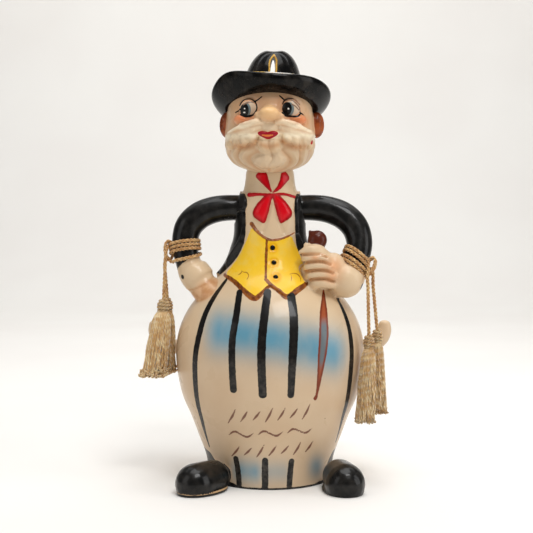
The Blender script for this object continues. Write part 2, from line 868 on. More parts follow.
@dataclass(frozen=True)
class Body:
    """The vessel, from the soles to the neck, with its relief and its painting."""

    grain: float = 1.15
    wall: float = 4.5
    base_thickness: float = 6.0
    neck_bore: float = 24.0
    sleeve_diameter: float = 18.8
    cuff_diameter: float = 24.4
    shoe_height: float = 19.5
    peg_diameter: float = 10.6
    knob_diameter: float = 13.6
    coat_relief: float = 2.2
    waistcoat_relief: float = 1.3
    bow_relief: float = 2.6
    knot: Spot = (1.2, 196.5)
    button_spots: tuple[Spot, ...] = ((1.7, 160.6), (2.5, 150.4), (3.7, 140.8))
    waistcoat_hem: tuple[Spot, ...] = (
        (19.5, 133), (11.2, 127.9), (5.4, 131.5), (-1.3, 135.6), (-5.4, 131), (-10, 127), (-16.7, 131.4),
        (-24, 138),
    )

    # The dress, drawn in the front view

    def waistcoat(self) -> np.ndarray:
        """Gives the waistcoat's outline."""
        neckline = [
            (-16.6, 177.5), (-12.3, 176.2), (-8.2, 171.4), (-2.7, 167), (2.7, 166), (10.2, 168),
            (17.7, 171.5),
        ]
        right_side = [(19, 165), (21.8, 155.7), (25, 146), (27.2, 138)]
        left_side = [(-31.4, 141.9), (-27.5, 149), (-23, 156), (-19, 165)]
        return softened([*neckline, *right_side, *self.waistcoat_hem, *left_side], 1)

    def yellow(self) -> np.ndarray:
        """Gives the outline of the waistcoat's yellow, which stops short of the coat at the top."""
        neckline = [(-12.4, 175.6), (-8.2, 171), (-2.7, 166.8), (2.7, 165.8), (10.2, 167.4), (14.6, 169)]
        right_side = [(16.6, 164), (20.4, 155.7), (24, 146), (27.2, 138)]
        left_side = [(-31.4, 141.9), (-25.4, 149), (-20.6, 156), (-16.4, 165)]
        return softened([*neckline, *right_side, *self.waistcoat_hem, *left_side], 1)

    def coat_fronts(self) -> list[np.ndarray]:
        """Gives the outlines of the coat's two front edges."""
        left = [
            (-60, 199), (-18, 199), (-15.8, 194), (-15.6, 189), (-17, 187), (-16.6, 180), (-17, 166),
            (-21, 156),
            (-26.5, 149), (-32, 143.6), (-35.5, 141), (-60, 143),
        ]
        right = [
            (60, 199), (18.6, 199), (16.8, 193), (16.6, 186), (17.2, 180), (17.4, 166), (19.2, 158),
            (24, 151.5),
            (31, 146), (36, 142), (60, 143),
        ]
        return [softened(left, 1), softened(right, 1)]

    def coat_back(self) -> np.ndarray:
        """Gives the outline of the coat's back with its two short tails."""
        return softened(
            [
                (-60, 199), (60, 199), (60, 142), (35, 141), (20, 133), (6, 131), (0, 139), (-6, 131),
                (-20, 133), (-35, 141), (-60, 142),
            ],
            1,
        )

    def bow_loops(self) -> list[np.ndarray]:
        """Gives the outlines of the bow's two hanging loops."""
        x, z = self.knot
        loops = []
        for side in (-1, 1):
            offsets = [
                (-0.6, 1.2), (3.0, 1.6), (7.6, -2.4), (11.2, -6.6), (14, -11.4), (13.2, -14.6), (10, -17.2),
                (6.4, -19.4), (4.8, -18.6), (3, -13.4), (1, -5),
            ]
            loops.append(softened([(x + 0.4 + side * across, z + up) for across, up in offsets], 2))
        return loops

    def bow_ribbons(self, front_view: np.ndarray) -> np.ndarray:
        """Gives how far spots in the front view are outside the bow's four ribbons."""
        x, z = self.knot
        upper_left = [
            (x + 0.6, z + 1), (x - 3.4, z + 4.4), (x - 9.4, z + 10.6), (x - 11.8, z + 13.2),
            (x - 8.4, z + 17), (x - 3.8, z + 16.8), (x - 1.4, z + 8),
        ]
        upper_right = [
            (x - 0.6, z + 1), (x + 2.4, z + 4.4), (x + 5, z + 8.4), (x + 6.6, z + 16.8), (x + 9.6, z + 17),
            (x + 12.8, z + 11.8), (x + 9.8, z + 8.4), (x + 5, z + 3),
        ]
        ribbons = [inside_distance(front_view, softened(outline, 1)) for outline in (upper_left, upper_right)]
        ribbons.append(
            stroke_distance(front_view, [self.knot, (x - 8, z + 0.6), (x - 15.4, z + 0.4)], (2.4, 2.0, 3.2))
        )
        ribbons.append(
            stroke_distance(front_view, [self.knot, (x + 8, z + 0.8), (x + 17, z - 1.4)], (2.4, 1.9, 2.1))
        )
        return np.min(ribbons, axis=0)

    def pleats(self, front_view: np.ndarray) -> np.ndarray:
        """Gives how deep the shirt's pleats are below the bow, 0 to 1."""
        x, z = self.knot
        lines = [
            [(x - 0.6, z - 6), (x - 3.6, z - 17), (x - 6, z - 24)],
            [(x + 2.4, z - 7), (x + 4.6, z - 17), (x + 8, z - 25)],
        ]
        distances = [stroke_distance(front_view, line, (0.4, 1.2)) for line in lines]
        return smoothstep(np.min(distances, axis=0), 1.6, 0.0)

    # The forms that stand out from the trunk

    def sleeves(self) -> list[Tube]:
        """Gives the two sleeves from shoulder to cuff."""
        fullness = [(0, 0.9), (0.3, 0.98), (0.58, 1.03), (0.74, 0.97), (0.87, 0.92), (1, 0.98)]
        radii = [(share, self.sleeve_diameter / 2 * full) for share, full in fullness]
        left = (*LEFT_SLEEVE, (-54.6, -5.6, 143))
        return [Tube(path, radii, steps=72, sides=40) for path in (left, RIGHT_SLEEVE)]

    def cuffs(self) -> list[Form]:
        """Gives the left cuff, flared, and the right cuff with the heel of the fist."""
        radius = self.cuff_diameter / 2
        flared = [(0, radius * 0.82), (0.12, radius * 0.88), (0.4, radius * 0.92), (1, radius * 0.93)]
        left = Tube([(-54.4, -5.1, 146.6), (-52.2, -5.9, 142.6), (-48.4, -7.3, 137.6)], flared, 24, 0.06)
        opening = [(0, radius * 0.76), (0.25, radius * 0.86), (0.7, radius * 0.94), (1, radius * 0.94)]
        right = Tube([(56.2, -14.9, 145.8), (54.2, -16.6, 141), (51.6, -18.4, 138.4)], opening, 24, 0.1)
        return [left, right, Ball((51.8, -18.2, 138.4), (radius, radius, radius))]

    def left_hand(self) -> Form:
        """Gives the hand that rests on the hip."""
        radius = self.cuff_diameter / 2
        path = [(-50.5, -6.5, 140), (-45.5, -8.6, 133), (-40, -11.5, 127), (-34, -15, 121.5)]
        return Tube(path, [(0, radius * 0.8), (0.5, radius * 0.85), (1, radius * 0.88)], 30, 0.3)

    def fist(self) -> list[Form]:
        """Gives the palm, four fingers and the thumb that hold the cane."""
        forms: list[Form] = [
            Ball((35, -20.5, 145), (13, 7.6, 12.4)), Ball((43.5, -19.5, 146), (8.5, 8.6, 11.5)),
        ]
        ends = ((22.6, 38.6, 153.6), (23.8, 41.4, 147.9), (25.4, 43, 142), (28.2, 42, 136.3))
        for tip, knuckle, height in ends:
            middle = (tip + knuckle) / 2
            path = [
                (knuckle + 2, -24.5, height - 1.4), (knuckle - 1.5, -28.6, height),
                (middle, -30.4, height + 0.7),
                (tip + 2.5, -28.6, height - 0.2), (tip, -25, height - 1.2),
            ]
            forms.append(
                Tube(path, [(0, 2.2), (0.2, 3.0), (0.6, 3.15), (0.9, 2.8), (1, 2.0)], 34, 0.8, sides=20)
            )
        thumb = [(39, -21, 156.4), (34, -25, 158.6), (28, -27, 159.2), (20.8, -25.5, 157.4)]
        forms.append(Tube(thumb, [(0, 2.4), (0.4, 3.3), (0.8, 3.3), (1, 2.2)], 28, 0.8, sides=20))
        forms.append(Tube([(26, -24.5, 158), (24.2, -23.5, 163.4)], [(0, 3.4), (1, 1.6)], 10, 0.8, sides=16))
        return forms

    def knob(self) -> list[Form]:
        """Gives the cane's round knob and its neck."""
        radius = self.knob_diameter / 2
        neck = Tube([(33.2, -18.8, 161), (33.4, -20, 152)], [(0, radius * 0.62), (1, radius * 0.62)], 8, 0.1)
        tip = Tube([(30.5, -19, 168.5), (26.2, -19.4, 172.2)], [(0, 4.2), (0.6, 2.2), (1, 0.8)], 12, 0.5)
        return [Ball((32.3, -18.5, 165.8), (radius, radius, radius)), neck, tip]

    def shoes(self) -> list[Form]:
        """Gives both shoes: a round toe cap, a lower instep and a sole with a lip."""
        forms: list[Form] = []
        for side, turn_degrees in ((-1, 37), (1, 9)):
            turn = math.radians(turn_degrees) * side
            toe, backwards = np.array([49.3 * side, -56.6]), np.array([-math.sin(turn), math.cos(turn)])
            line = [
                (*(toe + backwards * reach), self.shoe_height - 12.6 + 0.05 * reach)
                for reach in (0, 6, 12, 18)
            ]
            forms.append(Tube(line, [(0, 13.2), (0.35, 12.7), (1, 11.6)], 40, 1.0, sides=40))
            x, y = toe + backwards * 8
            forms.append(Ball((float(x), float(y), 1.0), (14.1, 21.0, 2.6), turn_degrees * side))
        return forms

    def insteps(self) -> list[list[Spot]]:
        """Gives the outlines in the front view of where the shoes' black runs up the trunk."""
        left = [(-62, -6), (-62, 24), (-42, 22), (-37.6, 16), (-33.9, 12), (-30.8, 8), (-29, 4), (-28.6, -6)]
        right = [(62, -6), (62, 24), (44.5, 22), (41.2, 17), (38.8, 12), (37, 7), (36.1, 3), (36, -6)]
        return [left, right]

    def pegs(self) -> list[Form]:
        """Gives the two upturned pegs behind the belly, which hold cups."""
        path = [
            (44, 30, 90), (58, 37, 87), (70, 40.5, 86.5), (80, 41.5, 91), (84.2, 41.5, 97.6),
            (84.8, 41.5, 103.8),
        ]
        radius = self.peg_diameter / 2
        radii = [(0, radius), (0.55, radius), (0.84, radius * 1.12), (1, radius * 0.82)]
        return [Tube([(x * side, y, z) for x, y, z in path], radii, 48, 0.5) for side in (-1, 1)]

    def hollow(self) -> Lathe:
        """Gives the room inside: the trunk brought in by the wall, and the bore of the neck."""
        shoulder, collar, top = 190 - self.wall, 203 - self.wall, 224.0
        heights = np.concatenate([np.linspace(self.base_thickness, 200, 40), [206, 212, top]])
        half_width, half_depth, back = TRUNK.section(np.minimum(heights, 212.0))
        narrowing = smoothstep(heights, shoulder, collar)
        bore = self.neck_bore / 2
        wide = (half_width - self.wall) * (1 - narrowing) + bore * narrowing
        deep = (half_depth - self.wall) * (1 - narrowing) + bore * narrowing
        return Lathe(np.column_stack([heights, wide, deep, back]).tolist(), around=48, along=44)

    # Building and painting

    def relief(self, spots: np.ndarray, others: np.ndarray) -> np.ndarray:
        """Gives how far the dress stands out from the skin.

        Args:
            spots: the skin's points.
            others: how far they are outside the arms and all else but the trunk.

        Returns:
            The heights in millimetres.
        """
        front_view = spots[:, [0, 2]]
        in_front = smoothstep(spots[:, 1], 1.0, -1.0)
        on_trunk = smoothstep(others - TRUNK.distance(spots), 0.0, 1.6)
        coat = self.coat_distance(spots)
        waistcoat = inside_distance(front_view, self.waistcoat())
        loops = np.min([inside_distance(front_view, loop) for loop in self.bow_loops()], axis=0)
        ribbons = self.bow_ribbons(front_view)
        below_beard = smoothstep(spots[:, 2], 212.5, 209.5)
        pillow = 1 - np.exp(np.minimum(loops, 0) / 1.9)
        ribbon = smoothstep(ribbons, 0.5, -0.8) * below_beard
        button_wells = self.off_buttons(front_view)
        crease = self.creases(front_view)
        flare = 1.9 * np.exp(-(((spots[:, 2] - 157) / 12) ** 2)) * smoothstep(np.abs(spots[:, 0]), 14, 24)
        heights = (self.coat_relief + flare) * smoothstep(coat, 0.7, -0.7)
        heights += in_front * self.waistcoat_relief * smoothstep(waistcoat, 0.5, -0.5)
        heights += in_front * self.bow_relief * pillow
        heights += in_front * 0.9 * ribbon * (1 - pillow)
        heights += in_front * 1.6 * np.exp(-((np.linalg.norm(front_view - self.knot, axis=1) / 2.2) ** 2))
        heights -= in_front * 0.8 * self.pleats(front_view) * smoothstep(waistcoat, 0.0, 1.0)
        heights -= in_front * 0.25 * np.exp(-((button_wells - 2.4) ** 2) / 0.4)
        heights += in_front * 1.3 * crease
        fist_front = smoothstep(spots[:, 1], -20, -24)
        knuckle_depth, rim_depth = 2.1, 0.2
        heights = heights * on_trunk - knuckle_depth * self.knuckle_lines(front_view) * fist_front
        return heights - rim_depth * self.cuff_rim(spots)

    def off_buttons(self, front_view: np.ndarray) -> np.ndarray:
        """Gives how far spots in the front view are from the nearest button's middle."""
        return np.min([np.linalg.norm(front_view - spot, axis=1) for spot in self.button_spots], axis=0)

    def knuckle_lines(self, front_view: np.ndarray) -> np.ndarray:
        """Gives how deep the creases between the fist's fingers are, 0 to 1."""
        gaps = (
            [
                (21, 156.0), (28, 156.6), (34, 156.4), (38.6, 154.8),
            ], [(22.6, 150.4), (28, 151.4), (35, 151.6), (41, 149.8)],
            [(24, 144.6), (30, 145.6), (37, 145.6), (43, 143.8)], [
                (26.6, 138.9), (32, 139.8), (38, 139.7), (43.4, 138),
            ],
        )
        nearest = np.min([stroke_distance(front_view, gap, (0.3, 0.7, 0.7, 0.2)) for gap in gaps], axis=0)
        return smoothstep(nearest, 1.5, -0.2)

    def cuff_rim(self, spots: np.ndarray) -> np.ndarray:
        """Gives how deep the line is where the left cuff ends over the hand, 0 to 1."""
        rim = [(-58.5, 130.6), (-51, 132.6), (-43.6, 136.4), (-37.6, 142.6), (-36, 146)]
        return smoothstep(stroke_distance(spots[:, [0, 2]], rim, (0.6, 0.6)), 0.9, -0.3) * (spots[:, 1] < 0)

    def coat_distance(self, spots: np.ndarray) -> np.ndarray:
        """Gives how far spots are outside the coat, whose fronts and back are drawn apart."""
        front_view = spots[:, [0, 2]]
        fronts = np.min([inside_distance(front_view, outline) for outline in self.coat_fronts()], axis=0)
        back = inside_distance(front_view, self.coat_back())
        return np.where(spots[:, 1] < 0.5, fronts, back)

    def creases(self, front_view: np.ndarray) -> np.ndarray:
        """Gives the ridges of cloth pulled out where the coat's fronts meet the sleeves."""
        folds = [[(-26, 183.6), (-21.5, 185.6), (-17.5, 186.6)], [(29.5, 183.2), (25, 185.2), (20.5, 186.6)]]
        return smoothstep(
            np.min([stroke_distance(front_view, fold, (0.5, 1.2, 0.5)) for fold in folds], axis=0), 0.8,
            -0.3,
        )

    def build(self) -> bpy.types.Object:
        """Makes the vessel.

        Returns:
            The piece, painted and glazed.
        """
        cloth, trimmings = self.sleeves(), [*self.cuffs(), self.left_hand(), *self.fist(), *self.knob()]
        others: list[Form] = [*cloth, *trimmings, *self.shoes(), *self.pegs()]
        piece = fused("body_glaze", [TRUNK, *others], self.grain, 4)

        def dressed(middles: np.ndarray) -> np.ndarray:
            x, y, z = middles.T
            chest = (y < -6) & (z > 124) & (z < 213) & (np.abs(x) < 33)
            hand = (y < -12) & (z > 128) & (z < 166) & (x > 17) & (x < 50)
            return chest | hand

        refined(piece, dressed)
        clay = Clay(piece)
        clay.press(self.relief(clay.spots, nearest_of(others, clay.spots)))
        cut_flat(piece, 0.0)
        hollowed(piece, self.hollow())
        self.paint(piece)
        piece.data.materials.append(self.glaze())
        return piece

    def paint(self, piece: bpy.types.Object) -> None:
        """Paints the outlines of every colour on the skin.

        Args:
            piece: the vessel.
        """
        clay = Clay(piece)
        spots = clay.spots
        front_view = spots[:, [0, 2]]
        trunk = TRUNK.distance(spots)
        sleeves, cuffs = nearest_of(self.sleeves(), spots), nearest_of(self.cuffs(), spots)
        left_hand, fist = self.left_hand().distance(spots), nearest_of(self.fist(), spots)
        knob, shoes, pegs = (nearest_of(forms, spots) for forms in (self.knob(), self.shoes(), self.pegs()))
        off_trunk = trunk - np.min([sleeves, cuffs, left_hand, fist, knob, shoes, pegs], axis=0)
        behind = np.where(spots[:, 1] > 0, 9.0, -9.0)
        on_front = np.maximum(off_trunk, behind)
        sleeve_edge = sleeves - np.min([trunk, cuffs, left_hand, fist, knob], axis=0)
        clay.paint("cloth", np.minimum(np.maximum(self.coat_distance(spots), off_trunk), sleeve_edge))
        clay.paint("yellow", np.maximum(inside_distance(front_view, self.yellow()), on_front))
        clay.paint("halo", self.off_buttons(front_view))
        clay.paint("trim", np.maximum(self.trim(front_view), on_front))
        clay.paint("pocket", np.maximum(self.pocket_marks(front_view), on_front))
        loops = np.min([inside_distance(front_view, loop) for loop in self.bow_loops()], axis=0)
        clay.paint("red", np.maximum(np.minimum(loops, self.bow_ribbons(front_view)), on_front))
        clay.paint(
            "ink", np.minimum(np.maximum(self.stripes(TRUNK.spread(spots)), off_trunk), self.dots(spots)),
        )
        clay.paint("scribble", np.maximum(self.brush_rows(front_view), on_front))
        clay.paint("cane", np.maximum(self.cane(front_view), on_front))
        clay.paint("knob", knob - np.min([sleeves, fist, trunk], axis=0))
        leather = np.min(
            [inside_distance(front_view, softened(outline, 1)) for outline in self.insteps()], axis=0,
        )
        clay.paint("shoe", np.minimum(shoes - trunk - 1.0, np.maximum(leather, behind)))
        clay.paint(
            "sole",
            np.maximum(
                np.abs(spots[:, 2] - 2.1) - 0.45,
                np.maximum(shoes - trunk, behind + 20 * (spots[:, 0] > -20)),
            ),
        )
        clay.paint("flesh", left_hand - np.minimum(trunk, cuffs))
        finger_gaps = self.knuckle_lines(front_view) * smoothstep(spots[:, 1], -20, -24)
        clay.paint("fold", np.maximum(finger_gaps, self.cuff_rim(spots)))
        clay.paint("peach", self.peach(spots))
        clay.paint("sky", self.sky(spots) * (on_front < 0))
        clay.paint("groove", clay.hollows(6))

    def trim(self, front_view: np.ndarray) -> np.ndarray:
        """Gives how far spots are outside the waistcoat's brown edging."""
        neckline = [
            (-12.6, 177), (-10.8, 174), (-7.7, 170.6), (-3.3, 167.3), (2.1, 165.9), (8.8, 167.1),
            (16.9, 170.8),
        ]
        placket = [(-2.2, 166.6), (-2.8, 152), (-3.0, 139.6)]
        right_hem = [(-3.0, 139.6), (0.6, 136), (5.8, 132.2), (11.2, 128.3), (19, 132.8), (27, 138.2)]
        left_hem = [(-31.2, 141.6), (-24.4, 138), (-17, 131.6), (-10, 127.4), (-5.2, 131.2), (-0.6, 135.4)]
        strokes = (
            (neckline, (2.8, 2.2, 1.7, 1.7, 1.6, 1.4, 0.9)),
            (placket, (1.5, 1.9, 1.6)),
            (right_hem, (2.2, 2.6, 3.2, 4.0, 3.8, 2.6)),
            (left_hem, (2.4, 3.2, 3.5, 4.0, 3.0, 1.8)),
        )
        return np.min([stroke_distance(front_view, path, widths, 36) for path, widths in strokes], axis=0)

    def pocket_marks(self, front_view: np.ndarray) -> np.ndarray:
        """Gives how far spots are outside the curled strokes that stand for pockets."""
        strokes = (
            [(-21.8, 142.2), (-20.2, 143.2), (-19, 144.8)],
            [(-19.6, 145.4), (-18.2, 144.2), (-15.9, 144), (-14.5, 142), (-15.7, 139.4)],
            [(13.2, 142.9), (15.4, 143.4), (18.2, 143), (20.4, 140.6), (20.8, 137.8)],
            [(14.2, 142.6), (14.4, 140.4), (14.1, 138.4)],
        )
        return np.min([stroke_distance(front_view, path, (0.35, 0.75, 0.4), 12) for path in strokes], axis=0)

    def stripes(self, rolled: np.ndarray) -> np.ndarray:
        """Gives how far places on the rolled-out skin are outside the trousers' stripes."""
        stripes = [
            Stripe(((130.8, -26.4), (117, -22.9), (100, -22.9), (84, -22.5), (67.6, -22.4)), (4.2, 4.6, 4.6)),
            Stripe(((131.2, -2.2), (116, -3.8), (100, -4.9), (84, -5.0), (64.8, -4.5)), (4.8, 5.2, 5.0)),
            Stripe(((128.4, 16.8), (116, 15.5), (100, 13.8), (86, 12.8), (64.4, 12.4)), (5.4, 5.5, 4.3)),
            Stripe(
                (
                    (138.6, -52), (128, -50), (117, -49), (103, -48.4), (88, -49.9), (71, -51.7),
                    (55, -54.2), (38, -58.4), (25, -60),
                ),
                (2.6, 4.4, 5.2, 5.2, 5.2, 5.0, 4.4, 1.6),
            ),
            Stripe(
                ((131, 68), (120, 61.8), (108, 59.2), (91, 57.3), (75, 57), (54, 60), (36, 66), (27, 68)),
                (2.2, 4.4, 5.2, 5.4, 5.2, 4.6, 1.6),
            ),
            Stripe(((19.8, -30.0), (12, -29.4), (2.6, -29.0)), (4.0, 4.3, 4.2)),
            Stripe(((19.6, -4.3), (12, -4.5), (2.6, -4.6)), (4.2, 4.5, 4.3)),
            Stripe(((18.8, 18.2), (12, 17.8), (2.6, 17.4)), (3.9, 4.1, 3.9)),
        ]
        for degrees in (-146, -102, 102, 146, 179.5, -179.5):
            stripes.append(
                Stripe(((126, degrees), (96, degrees), (66, degrees), (40, degrees)), (3.0, 5.0, 5.2, 2.0))
            )
        hem = rolled[:, 1] - 1.3
        return np.minimum(np.min([stripe.distance(rolled) for stripe in stripes], axis=0), hem)

    def dots(self, spots: np.ndarray) -> np.ndarray:
        """Gives how far spots are outside the small black studs painted on the cuffs and one peg."""
        places = (((-60.4, -13.0, 140.4), 1.7), ((62.6, -21.4, 134.2), 2.2), ((88.6, 37.4, 89.8), 1.2))
        return np.min([np.linalg.norm(spots - place, axis=1) - radius for place, radius in places], axis=0)

    def brush_rows(self, front_view: np.ndarray) -> np.ndarray:
        """Gives how far spots are outside three rows of plain brush strokes, which spell nothing."""
        strokes: list[tuple[list[Spot], tuple[float, ...]]] = []
        pitch, slant, rise = 8.2, 2.6, 0.06
        for row, (height, reach) in enumerate(((51.0, 5.2), (26.4, 4.4))):
            for i in range(7):
                x = -25.5 + pitch * i + 2.4 * row
                z = height + rise * x
                up = reach * (1.0 - 0.18 * ((i + row) % 3))
                strokes.append(
                    ([(x - slant, z - up), (x + 0.5, z + 0.2), (x + slant, z + up)], (0.7, 1.6, 0.6))
                )
        for i in range(3):
            x, z = -19.5 + 19.5 * i, 38.2 + rise * (-19.5 + 19.5 * i)
            wave = [(x - 8.4, z - 1.2), (x - 4.2, z + 1.8), (x, z), (x + 4.2, z - 1.6), (x + 8.4, z + 1.4)]
            strokes.append((wave, (0.7, 1.5, 1.1, 1.5, 0.6)))
        strokes.append(([(36.6, 46.4), (37.0, 46.6)], (0.7, 0.7)))
        return np.min([stroke_distance(front_view, path, widths, 14) for path, widths in strokes], axis=0)

    def cane(self, front_view: np.ndarray) -> np.ndarray:
        """Gives how far spots are outside the cane painted down the belly."""
        shaft = [(36.4, 133), (35.8, 116), (35.6, 102), (33.8, 85), (31.8, 69.5), (30.6, 62.4)]
        ferrule = [(30.4, 62.6), (29.8, 61.2)]
        strokes = ((shaft, (0.8, 5.2, 6.6, 5.9, 3.4, 1.2)), (ferrule, (2.2, 2.4)))
        return np.min([stroke_distance(front_view, path, widths) for path, widths in strokes], axis=0)

    def peach(self, spots: np.ndarray) -> np.ndarray:
        """Gives how strongly the peach colour is sprayed on the hands."""
        sprays = (((44, -30, 149), 6.5), ((43, -33, 142), 5.5), ((30, -34, 155), 3.0), ((-44, -18, 131), 6.0))
        strengths = [
            np.exp(-((np.linalg.norm(spots - place, axis=1) / reach) ** 2)) for place, reach in sprays
        ]
        return np.max(strengths, axis=0)

    def sky(self, spots: np.ndarray) -> np.ndarray:
        """Gives how strongly blue is sprayed across the belly and along the hem."""
        x, z = spots[:, 0], spots[:, 2]
        middle = np.interp(x, (-42, -27, 5, 28, 44), (105, 105.5, 101, 95.5, 91))
        across = smoothstep(x, -51, -33) * smoothstep(x, 58, 42)
        band = np.exp(-np.abs((z - middle) / 15.2) ** 2.2) * across
        hem = np.exp(-((z - 12) / 7.5) ** 2) * (
            0.8 * smoothstep(x, -30, -20) * smoothstep(x, -2, -10)
            + 0.45 * smoothstep(x, -8, 0) * smoothstep(x, 17, 8)
        )
        side = 0.7 * np.exp(-((z - 13) / 7.5) ** 2) * np.exp(-((x - 31) / 5.0) ** 2)
        return np.maximum(band, np.maximum(hem, side))

    def glaze(self) -> bpy.types.Material:
        """Mixes the vessel's glaze from the colours painted on its skin."""
        mixing = Mixing("painted_glaze")
        height = mixing.node("ShaderNodeSeparateXYZ", {0: mixing.coordinates}).outputs[2]
        cloud = mixing.noise(26.0, 4.0)
        colour = mixing.over(CREAM, CREAM_DEEP, mixing.math("MULTIPLY", mixing.rise(cloud, 0.3, 0.8), 0.4))
        colour = mixing.over(
            colour, CREAM_PALE, mixing.math("MULTIPLY", mixing.rise(height, 0.085, 0.128), 0.75),
        )
        speckle = mixing.rise(mixing.noise(1.6, 4.0), 0.72, 0.78)
        colour = mixing.over(colour, TAN, mixing.math("MULTIPLY", speckle, 0.5))
        brushed = mixing.rise(mixing.noise(9.0, 4.0, (1.0, 1.0, 2.5)), 0.15, 0.6)
        sky = mixing.math("MULTIPLY", mixing.painted("sky"), mixing.math("MULTIPLY_ADD", brushed, 0.16, 0.84))
        colour = mixing.over(colour, BLUE, sky)
        colour = mixing.over(colour, PEACH, mixing.math("MULTIPLY", mixing.painted("peach"), 0.8))
        hand = mixing.over(FLESH, TAN, mixing.rise(mixing.noise(7.0, 3.0), 0.35, 0.65))
        colour = mixing.over(
            colour, hand, mixing.math("MULTIPLY", mixing.within(mixing.painted("flesh"), 0.8), 0.85),
        )
        groove = mixing.rise(mixing.painted("groove"), 0.06, 0.4)
        colour = mixing.over(colour, TAN, mixing.math("MULTIPLY", groove, 0.4))
        colour = mixing.over(colour, TAN, mixing.math("MULTIPLY", mixing.painted("fold"), 0.7))
        thin = mixing.rise(mixing.noise(8.0, 3.0), 0.48, 0.72)
        yellow = mixing.over(YELLOW, YELLOW_THIN, mixing.math("MULTIPLY", thin, 0.45))
        yellow = mixing.over(yellow, YELLOW_DEEP, mixing.rise(mixing.painted("halo"), 5.4, 2.6))
        yellow = mixing.over(yellow, YELLOW_DEEP, mixing.math("MULTIPLY", groove, 0.6))
        colour = mixing.over(colour, yellow, mixing.within(mixing.painted("yellow"), 0.25, 0.5))
        trim = mixing.over(TRIM, TRIM_DEEP, mixing.rise(mixing.noise(2.5), 0.4, 0.65))
        colour = mixing.over(colour, trim, mixing.within(mixing.painted("trim"), 0.16, 0.45))
        colour = mixing.over(
            colour, TRIM, mixing.math("MULTIPLY", mixing.within(mixing.painted("pocket"), 0.14), 0.85),
        )
        red = mixing.over(RED, RED_DEEP, mixing.rise(mixing.painted("red"), -2.4, -0.2))
        colour = mixing.over(colour, red, mixing.within(mixing.painted("red"), 0.15, 0.3))
        scribble = mixing.within(mixing.painted("scribble"), 0.16, 0.15)
        colour = mixing.over(colour, SCRIBBLE, mixing.math("MULTIPLY", scribble, 0.92))
        worn = mixing.math(
            "MULTIPLY", mixing.rise(height, 0.125, 0.04), mixing.rise(mixing.noise(3.0, 4.0), 0.3, 0.8),
        )
        ink = mixing.over(INK, INK_THIN, worn)
        colour = mixing.over(colour, ink, mixing.within(mixing.painted("ink"), 0.18, 0.3))
        shaft = mixing.over(
            CANE_PALE, CANE_GREY,
            mixing.math("MULTIPLY", mixing.rise(height, 0.116, 0.108), mixing.rise(height, 0.078, 0.088)),
        )
        shaft = mixing.over(CANE, shaft, mixing.rise(mixing.painted("cane"), -0.6, -2.0))
        colour = mixing.over(colour, shaft, mixing.within(mixing.painted("cane"), 0.2, 0.25))
        colour = mixing.over(colour, KNOB, mixing.within(mixing.painted("knob"), 0.2))
        black = mixing.over(BLACK, srgb(36, 34, 32), mixing.rise(mixing.noise(5.0, 3.0), 0.3, 0.75))
        colour = mixing.over(colour, black, mixing.within(mixing.painted("cloth"), 0.14, 0.25))
        colour = mixing.over(colour, black, mixing.within(mixing.painted("shoe"), 0.14, 0.2))
        colour = mixing.over(colour, SOLE, mixing.within(mixing.painted("sole"), 0.12, 0.2))
        return CLAY.close(mixing, colour)


LEFT_SLEEVE = (
    (-8, 3, 187.5), (-24, 2, 188.3), (-38.5, 1, 187), (-49.5, 0, 182.6), (-56.6, -1, 175.4),
    (-59.2, -2, 166.5),
    (-58.8, -3.5, 157), (-56, -5, 147.5),
)
RIGHT_SLEEVE = (
    (9, 3, 187.5), (28, 1.5, 188.3), (41, 0, 186.8), (51.8, -2, 182.2), (58.8, -4.5, 175), (61.8, -8, 165.5),
    (60.8, -11.8, 156), (55.8, -15, 145),
)


@dataclass(frozen=True)
class Buttons:
    """Three glossy black beads down the waistcoat."""

    radius: float = 1.85
    sunk: float = 0.5

    def build(self, body: Body) -> bpy.types.Object:
        """Makes the buttons.

        Args:
            body: the vessel that they sit on.

        Returns:
            The piece.
        """
        work = bmesh.new()
        for x, z in body.button_spots:
            y = TRUNK.front(x, z) - body.waistcoat_relief + self.sunk
            Ball((x, y, z), (self.radius, self.radius * 0.85, self.radius)).build(work)
        piece = piece_from("buttons", work)
        mixing = Mixing("button_glaze")
        piece.data.materials.append(
            BLACK_GLAZE.close(
                mixing, mixing.over(BLACK, INK_THIN, mixing.rise(mixing.noise(1.5), 0.55, 0.8)),
            )
        )
        return piece


# The head, which lifts off as the stopper


